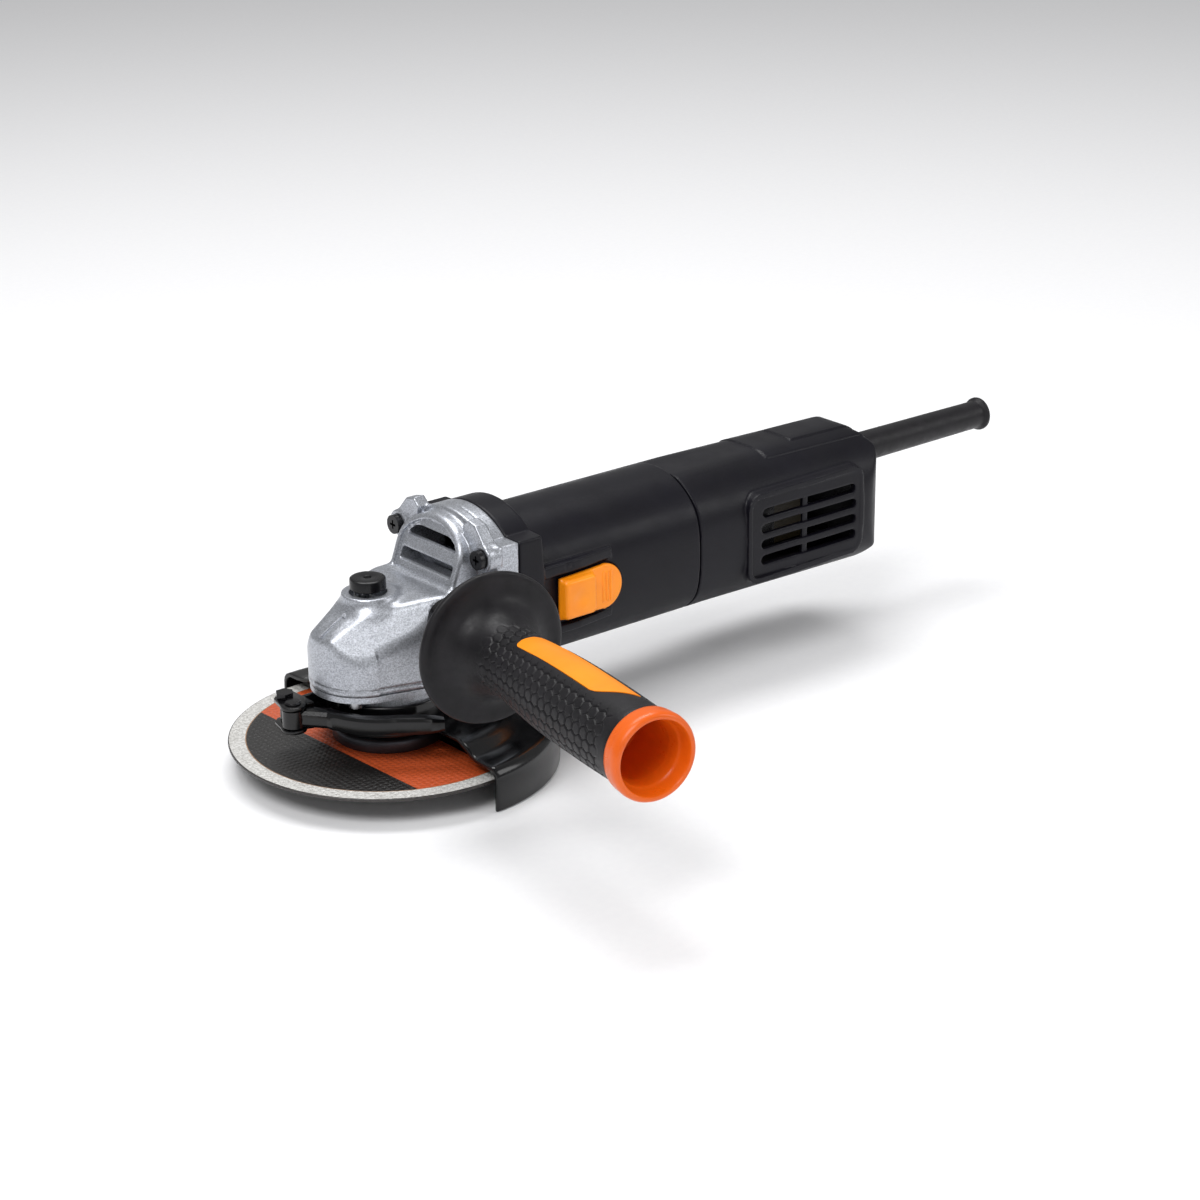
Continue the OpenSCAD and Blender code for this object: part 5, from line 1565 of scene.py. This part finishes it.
BARE = {
    SILVER: ("bearing_cover",),
    STEEL: ("cover_screw_1", "cover_screw_2", "cover_screw_3", "cover_screw_4", "spindle_bearing", "motor_bearing_front",
            "motor_bearing_rear", "clamp_screw_1", "clamp_screw_2", "handle_stud", "spindle", "bevel_gear", "disc_ring",
            "armature_shaft", "pinion", "pinion_nut", "lock_pin"),
    SCREW: ("case_screw_1", "case_screw_2", "case_screw_3", "case_screw_4", "rear_screw_1", "rear_screw_2", "clamp_bolt"),
    BRONZE: ("spindle_bush", "brush_holder_upper", "brush_holder_lower"),
    NYLON: ("fan_baffle",),
    ABS: ("mains_switch", "cord_clamp", "fan", "switch_link"),
    LAMINATE: ("stator_core", "armature_core"),
    COPPER: ("field_coil_upper", "field_coil_lower", "armature_windings", "commutator"),
    CARBON: ("carbon_brush_upper", "carbon_brush_lower"),
    FILM_IN_PAINTED_SHADE: ("capacitor",),
    OXIDE: ("clamp_nut",),
}


def dress_frame(frame: dict) -> None:
    """Give the CAD nodes that stay visible their finishes.
    """
    for finish, nodes in BARE.items():
        for name in nodes:
            slots = frame["nodes"][name].data.materials
            slots.clear()
            slots.append(finish.build())
            LOG.info("node %s in %s", name, finish.name)


# ---- studio ----


@dataclass
class Studio:
    """Floor, lights and camera."""

    target: tuple[float, float, float] = (0.1068, 0.0, 0.0333)
    azimuth: float = -39.4
    elevation: float = 21.3
    distance: float = 1.202
    lens: float = 88.5
    roll: float = -0.5

    def floor(self) -> None:
        """A flat pale floor just under the object's lowest point."""
        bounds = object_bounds()
        low = min(p[2] for p in bounds) - 0.0002
        mat = bpy.data.materials.new("matt_studio_paper")
        mat.use_nodes = True
        tree = mat.node_tree
        shader = tree.nodes["Principled BSDF"]
        place = add(tree, "ShaderNodeTexCoord").outputs["Object"]
        noise = add(tree, "ShaderNodeTexNoise", {"Vector": place, "Scale": 300.0, "Detail": 3.0})
        mix = add(tree, "ShaderNodeMix", {0: noise.outputs["Fac"]}, data_type="RGBA")
        mix.inputs[6].default_value = linear("#f4f4f5")
        mix.inputs[7].default_value = linear("#efeff1")
        tree.links.new(mix.outputs[2], shader.inputs["Base Color"])
        shader.inputs["Roughness"].default_value = 0.8
        mesh = bpy.data.meshes.new("floor")
        s = 6.0
        mesh.from_pydata([(-s, -s, low), (s, -s, low), (s, s, low), (-s, s, low)], [], [(0, 1, 2, 3)])
        mesh.materials.append(mat)
        floor = bpy.data.objects.new("floor", mesh)
        bpy.context.scene.collection.objects.link(floor)
        floor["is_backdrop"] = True

    def light(self, name: str, place: Sequence[float], power: float, size: tuple[float, float],
              aim: Sequence[float] = (0.08, -0.03, 0.03), colour: str = "#ffffff") -> None:
        """Hang one soft rectangular light.

        Args:
            name: Its name.
            place: Where it hangs, in metres.
            power: Watts.
            size: Width and height in metres.
            aim: What it points at.
            colour: Its colour.
        """
        data = bpy.data.lights.new(name, "AREA")
        data.shape = "RECTANGLE"
        data.size, data.size_y = size
        data.energy = power
        data.color = linear(colour)[:3]
        lamp = bpy.data.objects.new(name, data)
        lamp.location = place
        lamp.rotation_euler = (Vector(aim) - Vector(place)).to_track_quat("-Z", "Y").to_euler()
        bpy.context.scene.collection.objects.link(lamp)

    def camera(self) -> None:
        """Set the camera at its viewing angle."""
        a, e = math.radians(self.azimuth), math.radians(self.elevation)
        back = Vector((math.sin(a) * math.cos(e), -math.cos(a) * math.cos(e), math.sin(e)))
        data = bpy.data.cameras.new("camera")
        data.sensor_width = 36
        data.lens = self.lens
        data.clip_end = 50
        cam = bpy.data.objects.new("camera", data)
        turn = (-back).to_track_quat("-Z", "Y").to_matrix()
        roll = Matrix.Rotation(math.radians(self.roll), 3, "Z")
        cam.rotation_euler = (turn @ roll).to_euler()
        cam.location = Vector(self.target) + back * self.distance
        bpy.context.scene.collection.objects.link(cam)
        bpy.context.scene.camera = cam

    def build(self) -> None:
        """Set up the whole studio."""
        self.floor()
        self.light("key_softbox", (-0.9, -0.5, 1.35), 16, (0.9, 0.7))
        self.light("top_softbox", (0.25, 0.45, 1.5), 15, (1.1, 0.6))
        self.light("right_softbox", (1.1, -1.0, 0.8), 5, (0.6, 0.9))
        self.light("front_fill", (-0.3, -1.7, 0.5), 2.5, (1.2, 0.7))
        world = bpy.data.worlds.new("studio")
        world.use_nodes = True
        world.node_tree.nodes["Background"].inputs["Color"].default_value = linear("#ffffff")
        world.node_tree.nodes["Background"].inputs["Strength"].default_value = 0.36
        bpy.context.scene.world = world
        bpy.context.scene.view_settings.view_transform = "Standard"
        self.camera()


def main() -> None:
    """Load the frame and build each sub-assembly in order."""
    logging.basicConfig(level=logging.INFO, format="%(name)s: %(message)s")
    for left in list(bpy.data.objects):
        bpy.data.objects.remove(left)
    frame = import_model()
    repeat, winding = Repeat("repeat_piece"), Winding("wind_wire")
    dress_frame(frame)
    GearCase().build(repeat)
    MotorBody().build(repeat)
    SideHandle().build()
    Guard().build()
    Disc().build()
    Controls().build(winding)
    Studio().build()


if __name__ == "__main__":
    main()
